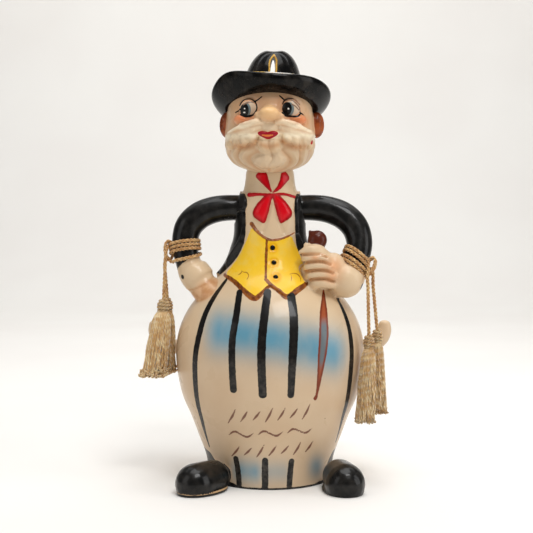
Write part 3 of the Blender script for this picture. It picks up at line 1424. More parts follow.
@dataclass(frozen=True)
class Head:
    """The head with its beard, moustache, ears and painted face, and the plug below it."""

    grain: float = 0.72
    plug_length: float = 17.0
    plug_radius: float = 11.4
    neck_top: float = 216.5
    def skull(self) -> Lathe:
        """Gives the head's round form below the hat."""
        rows = [
            (212.6, 7, 6, -13), (214.6, 15, 13, -9), (218, 23, 21, -4.5), (223, 28, 26.5, -2.5),
            (230, 30.6, 29.5, -1.5),
            (238, 31, 30, -1), (247, 30.2, 29, 0), (257, 29.4, 28.4, 1.5), (266, 28.4, 27.8, 4),
            (276, 22, 22, 7),
            (284, 10, 10, 9),
        ]
        return Lathe(rows, around=96, along=70)

    def moustache(self) -> list[Form]:
        """Gives the moustache's two swept lobes, each a ridge above a broad leaf with a scalloped hem."""
        forms: list[Form] = []
        for side in (-1, 1):
            ridge = [
                (4.4, -32.8, 244.6), (9.5, -34, 245), (17, -31, 242.8), (24.5, -23, 240), (30.8, -9.5, 237),
            ]
            forms.append(
                Tube(
                    [(x * side, y, z) for x, y, z in ridge], [(0, 1.3), (0.2, 2.3), (0.7, 2.2), (1, 1.0)],
                    40, 0.7,
                )
            )
            leaf = [
                (7.5, -31.6, 241.6), (13.5, -31, 239.4), (20, -26.6, 237.2), (26, -19, 235.8),
                (30.2, -9, 235),
            ]
            radii = [(0, 1.9), (0.25, 3.1), (0.7, 3.0), (1, 1.4)]
            forms.append(Tube([(x * side, y, z) for x, y, z in leaf], radii, 40, 0.7, 1.9))
            tips = ((11.8, -31, 234.2), (17.2, -28.8, 232.2), (22.4, -24, 231.2), (27, -17, 231.6))
            for x, y, z in tips:
                forms.append(Ball((x * side, y, z), (3.2, 2.9, 4.2), 28 * side))
        return forms

    def chin(self) -> list[Form]:
        """Gives the tuft below the lower lip and the beard's fullness under it."""
        upper_lip = Ball((-0.8, -29.4, 242.2), (8.4, 4.2, 4.6))
        return [
            Ball((-0.8, -29.6, 229.4), (8.6, 3.6, 4.6)), Ball((-0.8, -24.6, 220.6), (11, 5.2, 6.0)),
            upper_lip,
        ]

    def features(self) -> list[Form]:
        """Gives the button nose, the cheeks, the lips and the ears."""
        nose = [Ball((-0.6, -33.6, 250.6), (7.4, 7.4, 4.8)), Ball((-0.6, -29.2, 252.8), (5.4, 5.4, 4.6))]
        nose += [Ball((-0.6 + 6.8 * side, -31, 249.4), (3.9, 4.6, 3.3)) for side in (-1, 1)]
        cheeks = [Ball((17.6 * side, -22.2, 247.4), (7.2, 5.0, 4.4)) for side in (-1, 1)]
        eyes = [Ball((-14.8, -23.6, 255.2), (6.6, 4.4, 6.8)), Ball((13.9, -23.9, 255.4), (7.2, 4.4, 7.0))]
        upper = [Ball((-1.5 + 3.4 * side, -31.6, 237.5), (4.6, 2.9, 1.9)) for side in (-1, 1)]
        lower = Ball((-1.5, -31.0, 235.2), (5.4, 3.4, 2.0))
        return [*nose, *cheeks, *eyes, *upper, lower]

    def ears(self) -> list[Form]:
        """Gives the ears' solid shapes."""
        return [Ball((31.3 * side + 1.3, 3, 246), (5.4, 5.6, 9.2)) for side in (-1, 1)]

    def seat(self) -> Lathe:
        """Gives the room for the neck in the head's underside."""
        rows = []
        for height in (199, 205, 209, 212, 214, 215.5, 216.5, 216.9):
            half_width, half_depth, back = (
                float(v[0]) for v in TRUNK.section(np.array([min(height, 216.5)]))
            )
            rows.append((height, half_width + 0.3, half_depth + 0.3, back))
        return Lathe(rows, around=64, along=30)

    def build(self) -> bpy.types.Object:
        """Makes the head.

        Returns:
            The piece, painted and glazed.
        """
        forms = [self.skull(), *self.moustache(), *self.chin(), *self.features(), *self.ears()]
        piece = fused("head_glaze", forms, self.grain, 5)

        def faced(middles: np.ndarray) -> np.ndarray:
            eyes = (middles[:, 2] > 247) & (middles[:, 2] < 264.5) & (np.abs(middles[:, 0]) < 25)
            mouth = (middles[:, 2] > 231) & (middles[:, 2] < 241) & (np.abs(middles[:, 0] + 1.5) < 10)
            return (middles[:, 1] < -13) & (eyes | mouth)

        refined(piece, faced)
        clay = Clay(piece)
        clay.press(self.carving(clay.spots))
        hollowed(piece, self.seat())
        self.paint(piece)
        piece.data.materials.append(self.glaze())
        return piece

    def carving(self, spots: np.ndarray) -> np.ndarray:
        """Gives the fine carving: strands of hair, hollow ears and the set of the eyes.

        Args:
            spots: the skin's points.

        Returns:
            The heights in millimetres.
        """
        skull = self.skull()
        x, y, z = spots.T
        angle = skull.angle(spots)
        in_moustache = smoothstep(nearest_of(self.moustache(), spots), 0.9, 0.1) * (y < -5)
        in_beard = smoothstep(z, 238, 232) * smoothstep(y, 16, 6) * (1 - in_moustache)
        locks, strands = self.beard_locks(spots)
        full = smoothstep(z, 212.5, 219)
        heights = in_beard * (0.6 - 1.5 * locks * full - 0.22 * strands)
        spread = np.arctan2(248.5 - z, np.abs(x + 0.6) - 1.0)
        reach = np.hypot(x + 0.6, z - 248.5)
        combed = 9 * spread + 0.9 * np.sin(0.32 * reach)
        far_out = smoothstep(reach, 9, 20)
        heights -= in_moustache * far_out * (
            0.75 * (0.5 + 0.5 * np.cos(2 * combed)) ** 2 + 0.12 * np.sin(5.3 * combed)
        )
        for side in (-1, 1):
            dish = np.linalg.norm((spots - (36.2 * side + 1.3, -0.6, 247)) / (3.2, 3.6, 5.6), axis=1)
            heights -= 1.5 * smoothstep(dish, 1.15, 0.3)
        for centre in ((-14.8, 255.2), (13.9, 255.4)):
            ring = np.hypot((x - centre[0]) / 1.02, z - centre[1])
            heights -= 0.35 * np.exp(-(((ring - 7.3) / 1.0) ** 2)) * (y < -12)
        return heights

    def beard_locks(self, spots: np.ndarray) -> tuple[np.ndarray, np.ndarray]:
        """Gives how deep the gaps between the beard's locks are, 0 to 1, and its fine strands."""
        angle, z = self.skull().angle(spots), spots[:, 2]
        fan = angle / (0.42 + 0.026 * (240 - z))
        flow = 6.1 * fan + 0.5 * np.sin(0.36 * z + 3.4 * angle) + 0.4 * np.sin(7 * angle)
        strands = np.cos(6.3 * flow + 0.8 * np.sin(0.45 * z))
        return (0.5 + 0.5 * np.cos(2 * flow)) ** 1.6, strands

    def paint(self, piece: bpy.types.Object) -> None:
        """Paints the outlines of every colour on the face.

        Args:
            piece: the head.
        """
        clay = Clay(piece)
        spots = clay.spots
        front_view = spots[:, [0, 2]]
        behind = np.where(spots[:, 1] > -8, 9.0, -9.0)
        ears = nearest_of(self.ears(), spots) - self.skull().distance(spots)
        hair = nearest_of([*self.moustache(), *self.chin()], spots)
        in_beard = smoothstep(
            spots[:, 2], 238, 232,
        ) * smoothstep(spots[:, 1], 16, 6) * smoothstep(hair, 0.1, 0.9)
        clay.paint("lock", self.beard_locks(spots)[0] * in_beard)
        bolder = 0.24
        for name, strokes in FACE_STROKES.items():
            distances = [stroke_distance(front_view, path, widths, 20) - bolder for path, widths in strokes]
            clay.paint(name, np.maximum(np.min(distances, axis=0), behind))
        for name, ovals in FACE_OVALS.items():
            distances = [
                (np.linalg.norm((front_view - centre) / radii, axis=1) - 1) * min(radii)
                for centre, radii in ovals
            ]
            clay.paint(name, np.maximum(np.min(distances, axis=0), behind))
        lips = inside_distance(front_view, softened(LIP_OUTLINE, 2))
        clay.paint("lips", np.maximum(lips, behind))
        clay.paint("ear", ears)
        clay.paint("hair", hair)
        clay.paint("groove", clay.hollows(7))
        nose = np.linalg.norm((spots - (-0.9, -40, 252.6)) / (9, 9, 6), axis=1)
        clay.paint("warm", np.exp(-(nose**2)))
        tucked = (
            [(-24, 229.6), (-14, 228.8), (-9.5, 232.2)], [(24, 229.4), (14, 228.8), (8, 232.2)],
            [(-6, 229.8), (-0.8, 228.6), (5, 229.8)],
        )
        tuck = np.min([stroke_distance(front_view, path, (1.2, 2.6, 1.2), 14) for path in tucked], axis=0)
        clay.paint("tuck", smoothstep(tuck, 2.6, -1.2) * (spots[:, 1] < -8))
        blush = [
            np.linalg.norm((spots - place) / (8.0, 9.0, 3.4), axis=1)
            for place in ((-19.4, -24, 248.2), (20.6, -24, 247.2))
        ]
        clay.paint("blush", np.exp(-(np.min(blush, axis=0) ** 2)))
        sockets = [
            np.linalg.norm((spots - place) / (9.0, 12.0, 8.5), axis=1)
            for place in ((-12.5, -27, 257), (11.5, -27, 257.5))
        ]
        clay.paint("shade", np.exp(-(np.min(sockets, axis=0) ** 2)))

    def glaze(self) -> bpy.types.Material:
        """Mixes the head's glaze from the colours painted on its skin."""
        mixing = Mixing("face_glaze")
        height = mixing.node("ShaderNodeSeparateXYZ", {0: mixing.coordinates}).outputs[2]
        cloud = mixing.rise(mixing.noise(14.0, 4.0), 0.35, 0.7)
        flesh = mixing.over(FLESH, CREAM, mixing.math("MULTIPLY", cloud, 0.6))
        flesh = mixing.over(flesh, srgb(200, 132, 92), mixing.math("MULTIPLY", mixing.painted("shade"), 0.55))
        hair = mixing.over(SNOW, CREAM_PALE, mixing.rise(height, 0.2365, 0.2325))
        hair = mixing.over(
            hair, CREAM, mixing.math("MULTIPLY", mixing.rise(mixing.noise(5.0, 4.0), 0.4, 0.75), 0.6),
        )
        hair = mixing.over(hair, CREAM, mixing.math("MULTIPLY", mixing.rise(height, 0.234, 0.216), 0.8))
        hair = mixing.over(hair, TAN, mixing.math("MULTIPLY", mixing.painted("lock"), 0.5))
        is_hair = mixing.math(
            "MAXIMUM", mixing.within(mixing.painted("hair"), 0.8), mixing.rise(height, 0.2395, 0.2365),
        )
        colour = mixing.over(flesh, hair, is_hair)
        groove = mixing.rise(mixing.painted("groove"), 0.06, 0.4)
        colour = mixing.over(colour, TAN, mixing.math("MULTIPLY", groove, 0.25))
        colour = mixing.over(colour, TAN, mixing.math("MULTIPLY", mixing.painted("tuck"), 0.75))
        colour = mixing.over(
            colour, srgb(246, 200, 140), mixing.math("MULTIPLY", mixing.painted("warm"), 0.8),
        )
        colour = mixing.over(
            colour, srgb(226, 122, 66), mixing.math("MULTIPLY", mixing.painted("blush"), 0.85),
        )
        ear = mixing.over(EAR, EAR_DEEP, mixing.rise(mixing.noise(6.0, 3.0), 0.35, 0.65))
        ear = mixing.over(ear, EAR_DEEP, groove)
        colour = mixing.over(colour, ear, mixing.within(mixing.painted("ear"), 0.5))
        lips = mixing.over(LIPS, RED_DEEP, mixing.rise(mixing.painted("lips"), -1.0, -0.1))
        colour = mixing.over(colour, lips, mixing.within(mixing.painted("lips"), 0.14))
        layers = (
            ("eye_white", EYE_WHITE, 0.12), ("eye_grey", EYE_GREY, 0.12), ("eye_black", BLACK, 0.12),
            ("lid_line", LID, 0.10),
            ("ink_line", BLACK, 0.10), ("lip_light", LIPS_LIGHT, 0.2), ("red_speck", RED_DEEP, 0.15),
            ("glint", WHITE, 0.08),
        )
        for name, pigment, edge in layers:
            colour = mixing.over(colour, pigment, mixing.within(mixing.painted(name), edge))
        return CLAY.close(mixing, colour)

    def build_plug(self) -> bpy.types.Object:
        """Makes the round plug that drops into the neck.

        Returns:
            The piece, glazed.
        """
        low, high = self.neck_top - self.plug_length, self.neck_top + 6
        chamfer = 1.2
        work = bmesh.new()
        bmesh.ops.create_circle(work, cap_ends=True, segments=72, radius=self.plug_radius * MM)
        centre = Vector((0, TRUNK.section(np.array([self.neck_top]))[2][0], low)) * MM
        bmesh.ops.translate(work, verts=work.verts, vec=centre)
        raised = bmesh.ops.extrude_face_region(work, geom=work.faces[:])["geom"]
        top = [item for item in raised if isinstance(item, bmesh.types.BMVert)]
        bmesh.ops.translate(work, verts=top, vec=(0, 0, (high - low) * MM))
        bmesh.ops.recalc_face_normals(work, faces=work.faces)
        rims = [edge for edge in work.edges if abs(edge.verts[0].co.z - edge.verts[1].co.z) < 1e-7]
        bmesh.ops.bevel(
            work, geom=rims, offset=chamfer * MM, affect="EDGES", segments=3, profile=0.5, material=-1,
        )
        piece = piece_from("plug", work)
        mixing = Mixing("plug_glaze")
        colour = mixing.over(CREAM, CREAM_DEEP, mixing.rise(mixing.noise(6.0, 3.0), 0.35, 0.7))
        piece.data.materials.append(Coat(roughness=0.4, clear=0.1).close(mixing, colour))
        return piece


LIP_OUTLINE = (
    (-9.2, 237.5), (-6.2, 239.3), (-3.0, 238.7), (-1.5, 238.2), (0.2, 238.9), (3.0, 239.2), (6.2, 237.6),
    (3.2, 235), (-1.4, 233.1),
    (-5.8, 235),
)

# Brush strokes on the face in the front view: what they pass through, and their widths along the way.
FACE_STROKES = {
    "ink_line": (
        ([(-14.8 + 5.9 * math.cos(a), 255.3 + 6.1 * math.sin(a)) for a in (1.9, 2.4, 2.9)], (0.6, 1.0, 0.6)),
        (
            [(-14.8 + 5.9 * math.cos(a), 255.3 + 6.1 * math.sin(a)) for a in (2.0, 1.3, 0.6, -0.1, -0.8)],
            (0.8, 0.6, 0.5, 0.5, 0.6),
        ),
        ([(-19.8, 250.6), (-16.5, 249.4), (-12.6, 249.9), (-10.6, 251.2)], (0.8, 1.2, 1.0, 0.4)),
        ([(-23.6, 252.8), (-21.8, 253.7), (-20.0, 254.2)], (0.3, 0.5, 0.7)),
        ([(-10.4, 259.3), (-8.0, 260.9), (-5.6, 262.7)], (0.7, 0.5, 0.25)),
        ([(6.4, 263.4), (7.8, 262.2), (9.4, 260.7)], (0.4, 0.7, 0.4)),
        ([(8.4, 257.6), (9.6, 260.0), (12.6, 261.6), (15.4, 261.2)], (0.3, 0.7, 0.6, 0.3)),
        (
            [(8.2, 251.2), (10.4, 249.9), (14.5, 249.4), (18.4, 249.4), (20.2, 251.0), (20.8, 252.4)],
            (0.8, 1.0, 0.7, 0.8, 0.8, 0.4),
        ),
        ([(20.2, 252.2), (21.6, 251.8), (22.8, 250.8)], (0.7, 0.5, 0.3)),
    ),
    "lid_line": (
        ([(-18.2, 257.2), (-14.8, 258.6), (-11.0, 258.8)], (0.5, 0.7, 0.4)),
        (
            [(9.8, 259.6), (13.4, 260.6), (17.2, 258.2), (19.8, 255.0), (20.6, 252.4)],
            (0.4, 0.6, 0.5, 0.5, 0.4),
        ),
        ([(14.6, 257.4), (17.2, 255.8), (19.4, 253.6)], (0.3, 0.5, 0.3)),
        ([(15.4, 261.2), (17.6, 259.6), (19.8, 257.2)], (0.3, 0.45, 0.3)),
    ),
    "red_speck": (([(28.2, 231.6), (28.8, 233.4)], (0.9, 0.6)),),
    "lip_light": (([(-5.2, 236.2), (-2.0, 235.8), (1.6, 236.2)], (0.4, 1.1, 0.4)),),
}

# Ovals painted on the face in the front view: centre and radii.
FACE_OVALS = {
    "eye_white": (((-14.8, 254.6), (5.5, 4.7)), ((14.0, 254.6), (6.0, 4.9))),
    "eye_grey": (((-15.9, 253.6), (2.9, 4.5)), ((12.9, 254.2), (3.2, 4.5))),
    "eye_black": (((-17.3, 253.5), (2.9, 4.5)), ((11.3, 254.5), (3.3, 4.4))),
    "glint": (((-17.2, 254.4), (0.5, 0.5)), ((-17.4, 251.9), (0.75, 0.45)), ((12.3, 254.3), (0.65, 0.6))),
}


@dataclass(frozen=True)
class Hat:
    """The glossy black hat, tilted back on the head, with its gilt line and ornament."""

    tilt_degrees: float = 21.0
    centre: Point = (0.8, 2.0, 256.0)
    crown_radii: Point = (21.3, 24.5, 44.3)
    aside: float = 2.3
    crease: float = 3.2
    side_lift: float = 3.0
    front_dip: float = 1.9
    left_cock: float = 4.2

    def on_head(self, point: Sequence[float]) -> np.ndarray:
        """Moves a point of the hat to its place, tilted back on the head."""
        tilt = -math.radians(self.tilt_degrees)
        x, y, z = point
        turned = (x, y * math.cos(tilt) - z * math.sin(tilt), y * math.sin(tilt) + z * math.cos(tilt))
        return np.array(turned) + self.centre

    def crown_point(self, turn: float, share: float) -> np.ndarray:
        """Gives a point of the crown's skin before it is tilted."""
        half_width, half_depth, height = self.crown_radii
        rise = math.sin(math.pi / 2 * min(share, 1.0))
        wide = max(0.0, 1 - rise**2.7) ** (1 / 2.7)
        angle = turn * 2 * math.pi
        x = math.sin(angle) * wide * half_width
        dent = self.crease * float(smoothstep(rise, 0.8, 1.0)) * math.exp(-((x / 4.4) ** 2))
        return np.array([x + self.aside * rise, -math.cos(angle) * wide * half_depth, rise * height - dent])

    def build_crown(self) -> bpy.types.Object:
        """Makes the crown, a tall dome with a crease along its top.

        Returns:
            The piece, glazed.
        """
        work = bmesh.new()

        def laid(turn: float, share: float) -> np.ndarray:
            if share == 0.0:
                return self.on_head((0.0, 0.0, -3.0))
            return self.on_head(self.crown_point(turn, (share - 1 / 48) / (1 - 1 / 48)))

        wrapped(work, 112, 48, laid)
        piece = piece_from("hat_crown", work)
        piece.data.materials.append(self.black("hat_glaze"))
        return piece

    def lift(self, angle: float) -> float:
        """Gives how much higher the rim is than a level one, by its direction from the front.

        Args:
            angle: the direction in radians, rising towards +X.

        Returns:
            The lift in millimetres.
        """
        degrees = (math.degrees(angle) + 180) % 360 - 180
        curled = self.side_lift * math.sin(angle) ** 2
        dipped = self.front_dip * math.exp(-(((degrees - 8) / 26) ** 2))
        cocked = self.left_cock * math.exp(-(((degrees + 48) / 24) ** 2))
        return curled - dipped + cocked

    def build_brim(self) -> bpy.types.Object:
        """Makes the brim, which curls up to its rim and higher at its sides.

        Returns:
            The piece, glazed.
        """
        outline = [
            (16, 0.4), (23, 0.1), (29, -0.3), (33, -0.3), (36.5, 0.8), (39.6, 2.9), (41.3, 5.4),
            (41.9, 7.4), (41.4, 9),
            (40.2, 9.3), (39, 7.9), (37.2, 5.4), (34.4, 3.3), (31, 2), (24, 1.7), (16, 1.6),
        ]
        ring = np.vstack([softened(outline, 2), softened(outline, 2)[:1]])
        work = bmesh.new()
        rows = len(ring) - 1

        def laid(turn: float, share: float) -> np.ndarray:
            radius, height = ring[round(share * rows)]
            angle = turn * 2 * math.pi
            outer = float(smoothstep(radius, 30, 42))
            return self.on_head(
                (math.sin(angle) * radius, -math.cos(angle) * radius, height + self.lift(angle) * outer)
            )

        wrapped(work, 144, rows, laid)
        piece = piece_from("hat_brim", work)
        piece.data.materials.append(self.black("brim_glaze"))
        return piece

    def build_ornament(self) -> bpy.types.Object:
        """Makes the gilt flame on the front of the crown.

        Returns:
            The piece, gilded.
        """
        half_width, half_depth, height = self.crown_radii
        flame = softened(
            [
                (-3.1, 13), (-2.9, 19.5), (-3.2, 24), (-2.9, 27.5), (-1.5, 30.4), (0.2, 34), (1.8, 30.4),
                (2.9, 27.5),
                (2.9, 24), (3.1, 19.5), (3.0, 13),
            ],
            2,
        )
        ring = np.vstack([flame, flame[:1]])
        middle = np.array([0.0, 23.0])
        steps = (
            (0.0, -2.0), (1.0, -2.0), (1.0, 0.7), (0.93, 1.2), (0.84, 1.2), (0.72, 0.5), (0.6, 0.5),
            (0.48, 0.5), (0.36, 0.5),
            (0.24, 0.5), (0.12, 0.5), (0.0, 0.5),
        )
        work = bmesh.new()

        def laid(turn: float, share: float) -> np.ndarray:
            reach, out = steps[round(share * (len(steps) - 1))]
            x, z = middle + (ring[round(turn * len(flame))] - middle) * reach
            lift = min(max(z / height, 0.0), 1.0)
            wide = (1 - lift**2.7) ** (1 / 2.7)
            across = min(abs(x) / (half_width * wide), 0.99)
            front = -half_depth * wide * math.sqrt(1 - across**2)
            return self.on_head((x + self.aside * lift, front - out, z))

        wrapped(work, len(flame), len(steps) - 1, laid)
        piece = piece_from("hat_ornament", work)
        mixing = Mixing("gilt_flame")
        clay = Clay(piece)
        away = clay.spots - self.centre
        tilt = math.radians(self.tilt_degrees)
        up = away[:, 2] * math.cos(tilt) + away[:, 1] * math.sin(tilt)
        view = np.column_stack([away[:, 0] - self.aside * np.clip(up / height, 0, 1), up])
        clay.paint("edge", inside_distance(view, flame))
        tongue = softened([(-1.7, 12), (-1.5, 21.5), (0.0, 29), (1.5, 21.5), (1.7, 12)], 1)
        clay.paint("tongue", inside_distance(view, tongue))
        inner = mixing.over(BLACK, WHITE, mixing.within(mixing.painted("tongue"), 0.15))
        rim = mixing.rise(mixing.painted("edge"), -1.3, -1.1)
        gilt = mixing.over(GILT, srgb(168, 118, 40), mixing.rise(mixing.noise(1.6, 3.0), 0.4, 0.7))
        colour = mixing.over(inner, gilt, rim)
        piece.data.materials.append(CLAY.close(mixing, colour))
        return piece

    def build_gilt_line(self) -> bpy.types.Object:
        """Makes the gilt line laid along the front of the brim's rim.

        Returns:
            The piece, gilded.
        """
        points = []
        for degrees in np.linspace(-17, 22, 28):
            angle = math.radians(degrees)
            radius = 40.9
            points.append(
                self.on_head((math.sin(angle) * radius, -math.cos(angle) * radius, 9.2 + self.lift(angle)))
            )
        work = bmesh.new()
        Tube(points, [(0, 0.15), (0.3, 0.6), (0.75, 0.6), (1, 0.15)], 40, 0.5, 0.6, 12).build(work)
        piece = piece_from("hat_gilt_line", work)
        mixing = Mixing("gilt_line")
        across = mixing.node("ShaderNodeSeparateXYZ", {0: mixing.coordinates}).outputs[0]
        worn = mixing.math(
            "MULTIPLY", mixing.rise(across, -0.005, -0.001), mixing.rise(mixing.noise(2.6, 2.0), 0.3, 0.5),
        )
        gilt = mixing.over(GILT, WHITE, worn)
        piece.data.materials.append(CLAY.close(mixing, gilt))
        return piece

    def black(self, name: str) -> bpy.types.Material:
        """Mixes the hat's black glaze, thinner where it ran."""
        mixing = Mixing(name)
        colour = mixing.over(
            BLACK, srgb(44, 40, 36), mixing.rise(mixing.noise(7.0, 4.0, (1.0, 1.0, 1.6)), 0.4, 0.8),
        )
        return BLACK_GLAZE.close(mixing, colour)


# The cords and their tassels


@dataclass(frozen=True)
class Silk:
    """The shiny gold yarn of the cords and tassels."""

    dark: tuple[int, int, int]
    light: tuple[int, int, int]
    roughness: float = 0.42
    sheen: float = 0.5

    def material(self, name: str, twists: float, slant: float) -> bpy.types.Material:
        """Mixes the yarn's material.

        Args:
            name: the material's name.
            twists: how many fibres show along the UV map's length.
            slant: how many fibres are crossed on the way round.

        Returns:
            The material, which reads the piece's UV map.
        """
        mixing = Mixing(name)
        flat = mixing.node("ShaderNodeTexCoord", {}).outputs["UV"]
        parts = mixing.node("ShaderNodeSeparateXYZ", {0: flat}).outputs
        phase = mixing.math("MULTIPLY_ADD", parts[1], twists, mixing.math("MULTIPLY", parts[0], slant))
        fibre = mixing.math("SINE", mixing.math("MULTIPLY", phase, 2 * math.pi))
        fibre = mixing.rise(fibre, -1.0, 1.0)
        cloud = mixing.rise(mixing.noise(4.5, 3.0), 0.35, 0.68)
        colour = mixing.over(
            srgb(*self.dark), srgb(*self.light), mixing.math("MULTIPLY_ADD", cloud, 0.55, 0.2),
        )
        colour = mixing.over(srgb(*self.dark), colour, mixing.math("MULTIPLY_ADD", fibre, 0.5, 0.5))
        normal = mixing.bumped(fibre, 0.22)
        sockets = {"Sheen_Weight": self.sheen, "Sheen_Roughness": 0.4, "Anisotropic": 0.4}
        return mixing.finish(colour, self.roughness, normal, **sockets)


ROPE_SILK = Silk((184, 122, 60), (255, 220, 152), 0.4)
FRINGE_SILK = Silk((190, 138, 72), (255, 238, 190), 0.34, 0.7)


def rope(
    work: bmesh.types.BMesh, path: np.ndarray, diameter: float, pitch: float, strands: int = 3,
    sides: int = 7,
) -> None:
    """Twists strands round a line.

    Args:
        work: the mesh in the making.
        path: the rope's middle, evenly spaced, in millimetres.
        diameter: the rope's diameter.
        pitch: how far along the rope one full twist goes.
        strands: how many strands there are.
        sides: how many faces go round a strand.
    """
    if not work.loops.layers.uv:
        work.loops.layers.uv.new("fibres")
    tube = Tube(path, [(0, 1.0), (1, 1.0)], len(path) - 1)
    step = float(np.linalg.norm(path[1] - path[0]))
    radius = diameter / 2 / (1 + 2 / math.sqrt(3))
    reach = radius * 2 / math.sqrt(3)
    for strand in range(strands):
        turns = np.arange(len(path)) * step / pitch * 2 * math.pi + strand * 2 * math.pi / strands
        centres = path + reach * (
            np.cos(turns)[:, None] * tube.across + np.sin(turns)[:, None] * tube.upright
        )

        def laid(turn: float, share: float) -> np.ndarray:
            row = round(share * (len(path) + 1))
            i = min(max(row - 1, 0), len(path) - 1)
            full = 0.0 if row in (0, len(path) + 1) else radius
            angle = turn * 2 * math.pi + turns[i]
            return centres[i] + full * (math.cos(angle) * tube.across[i] + math.sin(angle) * tube.upright[i])

        grid_rope(work, sides, len(path) + 1, laid)


def grid_rope(work: bmesh.types.BMesh, around: int, along: int, place: Place) -> None:
    """Bends a flat grid with its UV map into a closed strand.

    Args:
        work: the mesh in the making.
        around: how many faces go round.
        along: how many go along.
        place: gives the point in millimetres for a share round and a share along.
    """
    made = bmesh.ops.create_grid(work, x_segments=around, y_segments=along, size=0.5, calc_uvs=True)
    for vertex in made["verts"]:
        vertex.co = Vector(place(vertex.co.x + 0.5, vertex.co.y + 0.5)) * MM
    bmesh.ops.remove_doubles(work, verts=made["verts"], dist=1e-6)


@dataclass(frozen=True)
class Tassel:
    """A tassel on a cord's end: a bound head and a skirt of twisted strands."""

    name: str
    head: Point
    lean: Spot
    skirt_length: float
    skirt_width: float
    strands: int = 150
    strand_radius: float = 0.58
    curl: float = 0.5
    head_diameter: float = 7.6
    head_length: float = 9.0
    seed: int = 1

    def width_at(self, share: float) -> float:
        """Gives the skirt's radius at a share of the way down from the neck."""
        half = self.skirt_width / 2
        return float(
            np.interp(
                share, (0, 0.12, 0.55, 1), (self.head_diameter * 0.34, half * 0.72, half * 0.93, half),
            )
        )

    def middle_at(self, down: float) -> np.ndarray:
        """Gives the tassel's middle at a distance below its top, in millimetres."""
        full = self.head_length + self.skirt_length
        hang = (down / full) ** 1.3
        return np.array(
            [self.head[0] + self.lean[0] * hang, self.head[1] + self.lean[1] * hang, self.head[2] - down]
        )

    def build(self) -> bpy.types.Object:
        """Makes the tassel.

        Returns:
            The piece.
        """
        work = bmesh.new()
        work.loops.layers.uv.new("fibres")
        self.bind_head(work)
        chance = np.random.default_rng(self.seed)
        for i in range(self.strands):
            self.hang_strand(work, math.sqrt((i + 0.5) / self.strands), i * 2.39996, chance)
        bmesh.ops.recalc_face_normals(work, faces=work.faces)
        piece = piece_from(self.name, work)
        piece.data.materials.append(FRINGE_SILK.material(self.name + "_silk", 17.0, 2.0))
        return piece

    def bind_head(self, work: bmesh.types.BMesh) -> None:
        """Adds the head: a core under a cord wound round it, with two turns at the neck."""
        radius = self.head_diameter / 2

        def belly(share: float) -> float:
            return radius * float(
                np.interp(share, (0, 0.12, 0.4, 0.7, 0.88, 1), (0.25, 0.5, 0.72, 0.76, 0.6, 0.66))
            )

        def core(turn: float, share: float) -> np.ndarray:
            full = 0.0 if share in (0.0, 1.0) else belly(share) * 0.96
            angle = turn * 2 * math.pi
            return self.middle_at(share * self.head_length) + full * np.array(
                [math.sin(angle), -math.cos(angle), 0]
            )

        grid_rope(work, 16, 12, core)
        turns, steps = 4.4, 200
        wound = []
        for i in range(steps + 1):
            share = i / steps
            angle = share * turns * 2 * math.pi
            out = belly(share) + 0.12
            wound.append(
                self.middle_at(share * self.head_length)
                + out * np.array([math.sin(angle), -math.cos(angle), 0])
            )
        rope(work, smooth_path(wound[::4], 200), 2.3, 4.4, 3, 6)

    def hang_strand(
        self, work: bmesh.types.BMesh, reach: float, angle: float, chance: np.random.Generator,
    ) -> None:
        """Adds one crinkled strand of the skirt.

        Args:
            work: the mesh in the making.
            reach: how far out the strand hangs, 0 to 1.
            angle: in which direction, in radians.
            chance: the source of small differences.
        """
        drop = 4.0 * float(chance.random()) ** 2
        length = self.skirt_length - self.curl - drop
        crinkle, phase = 0.4 + 0.8 * float(chance.random()), float(chance.random()) * 6.28
        waves = 9.0 + 9.0 * float(chance.random())
        radius = self.strand_radius * (0.85 + 0.3 * float(chance.random()))
        curl = self.curl * (0.6 + 0.8 * float(chance.random()))
        hang_rows, curl_rows = 12, 4
        rows = hang_rows + curl_rows + 2

        def laid(turn: float, share: float) -> np.ndarray:
            row = min(max(round(share * rows) - 1, 0), rows - 2)
            along = min(row / hang_rows, 1.0)
            full = radius if 0 < round(share * rows) < rows else 0.0
            hook = max(0, row - hang_rows) / curl_rows * math.radians(200)
            out = self.width_at(along) * reach - radius * along + curl * (1 - math.cos(hook))
            sway = crinkle * along * math.sin(phase + along * waves)
            turned = angle + sway / max(self.skirt_width / 2, 1.0)
            middle = self.middle_at(
                self.head_length - 0.6 + length * along
            ) - np.array([0, 0, curl * math.sin(hook)])
            outwards = np.array([math.sin(turned), -math.cos(turned), 0])
            skew = turn * 2 * math.pi
            level = math.cos(skew) * np.array([math.cos(turned), math.sin(turned), 0])
            upwards = math.sin(skew) * (outwards * math.cos(hook) + np.array([0, 0, math.sin(hook)]))
            return middle + outwards * (out + 0.5 * sway) + full * (level + upwards)

        grid_rope(work, 5, rows, laid)


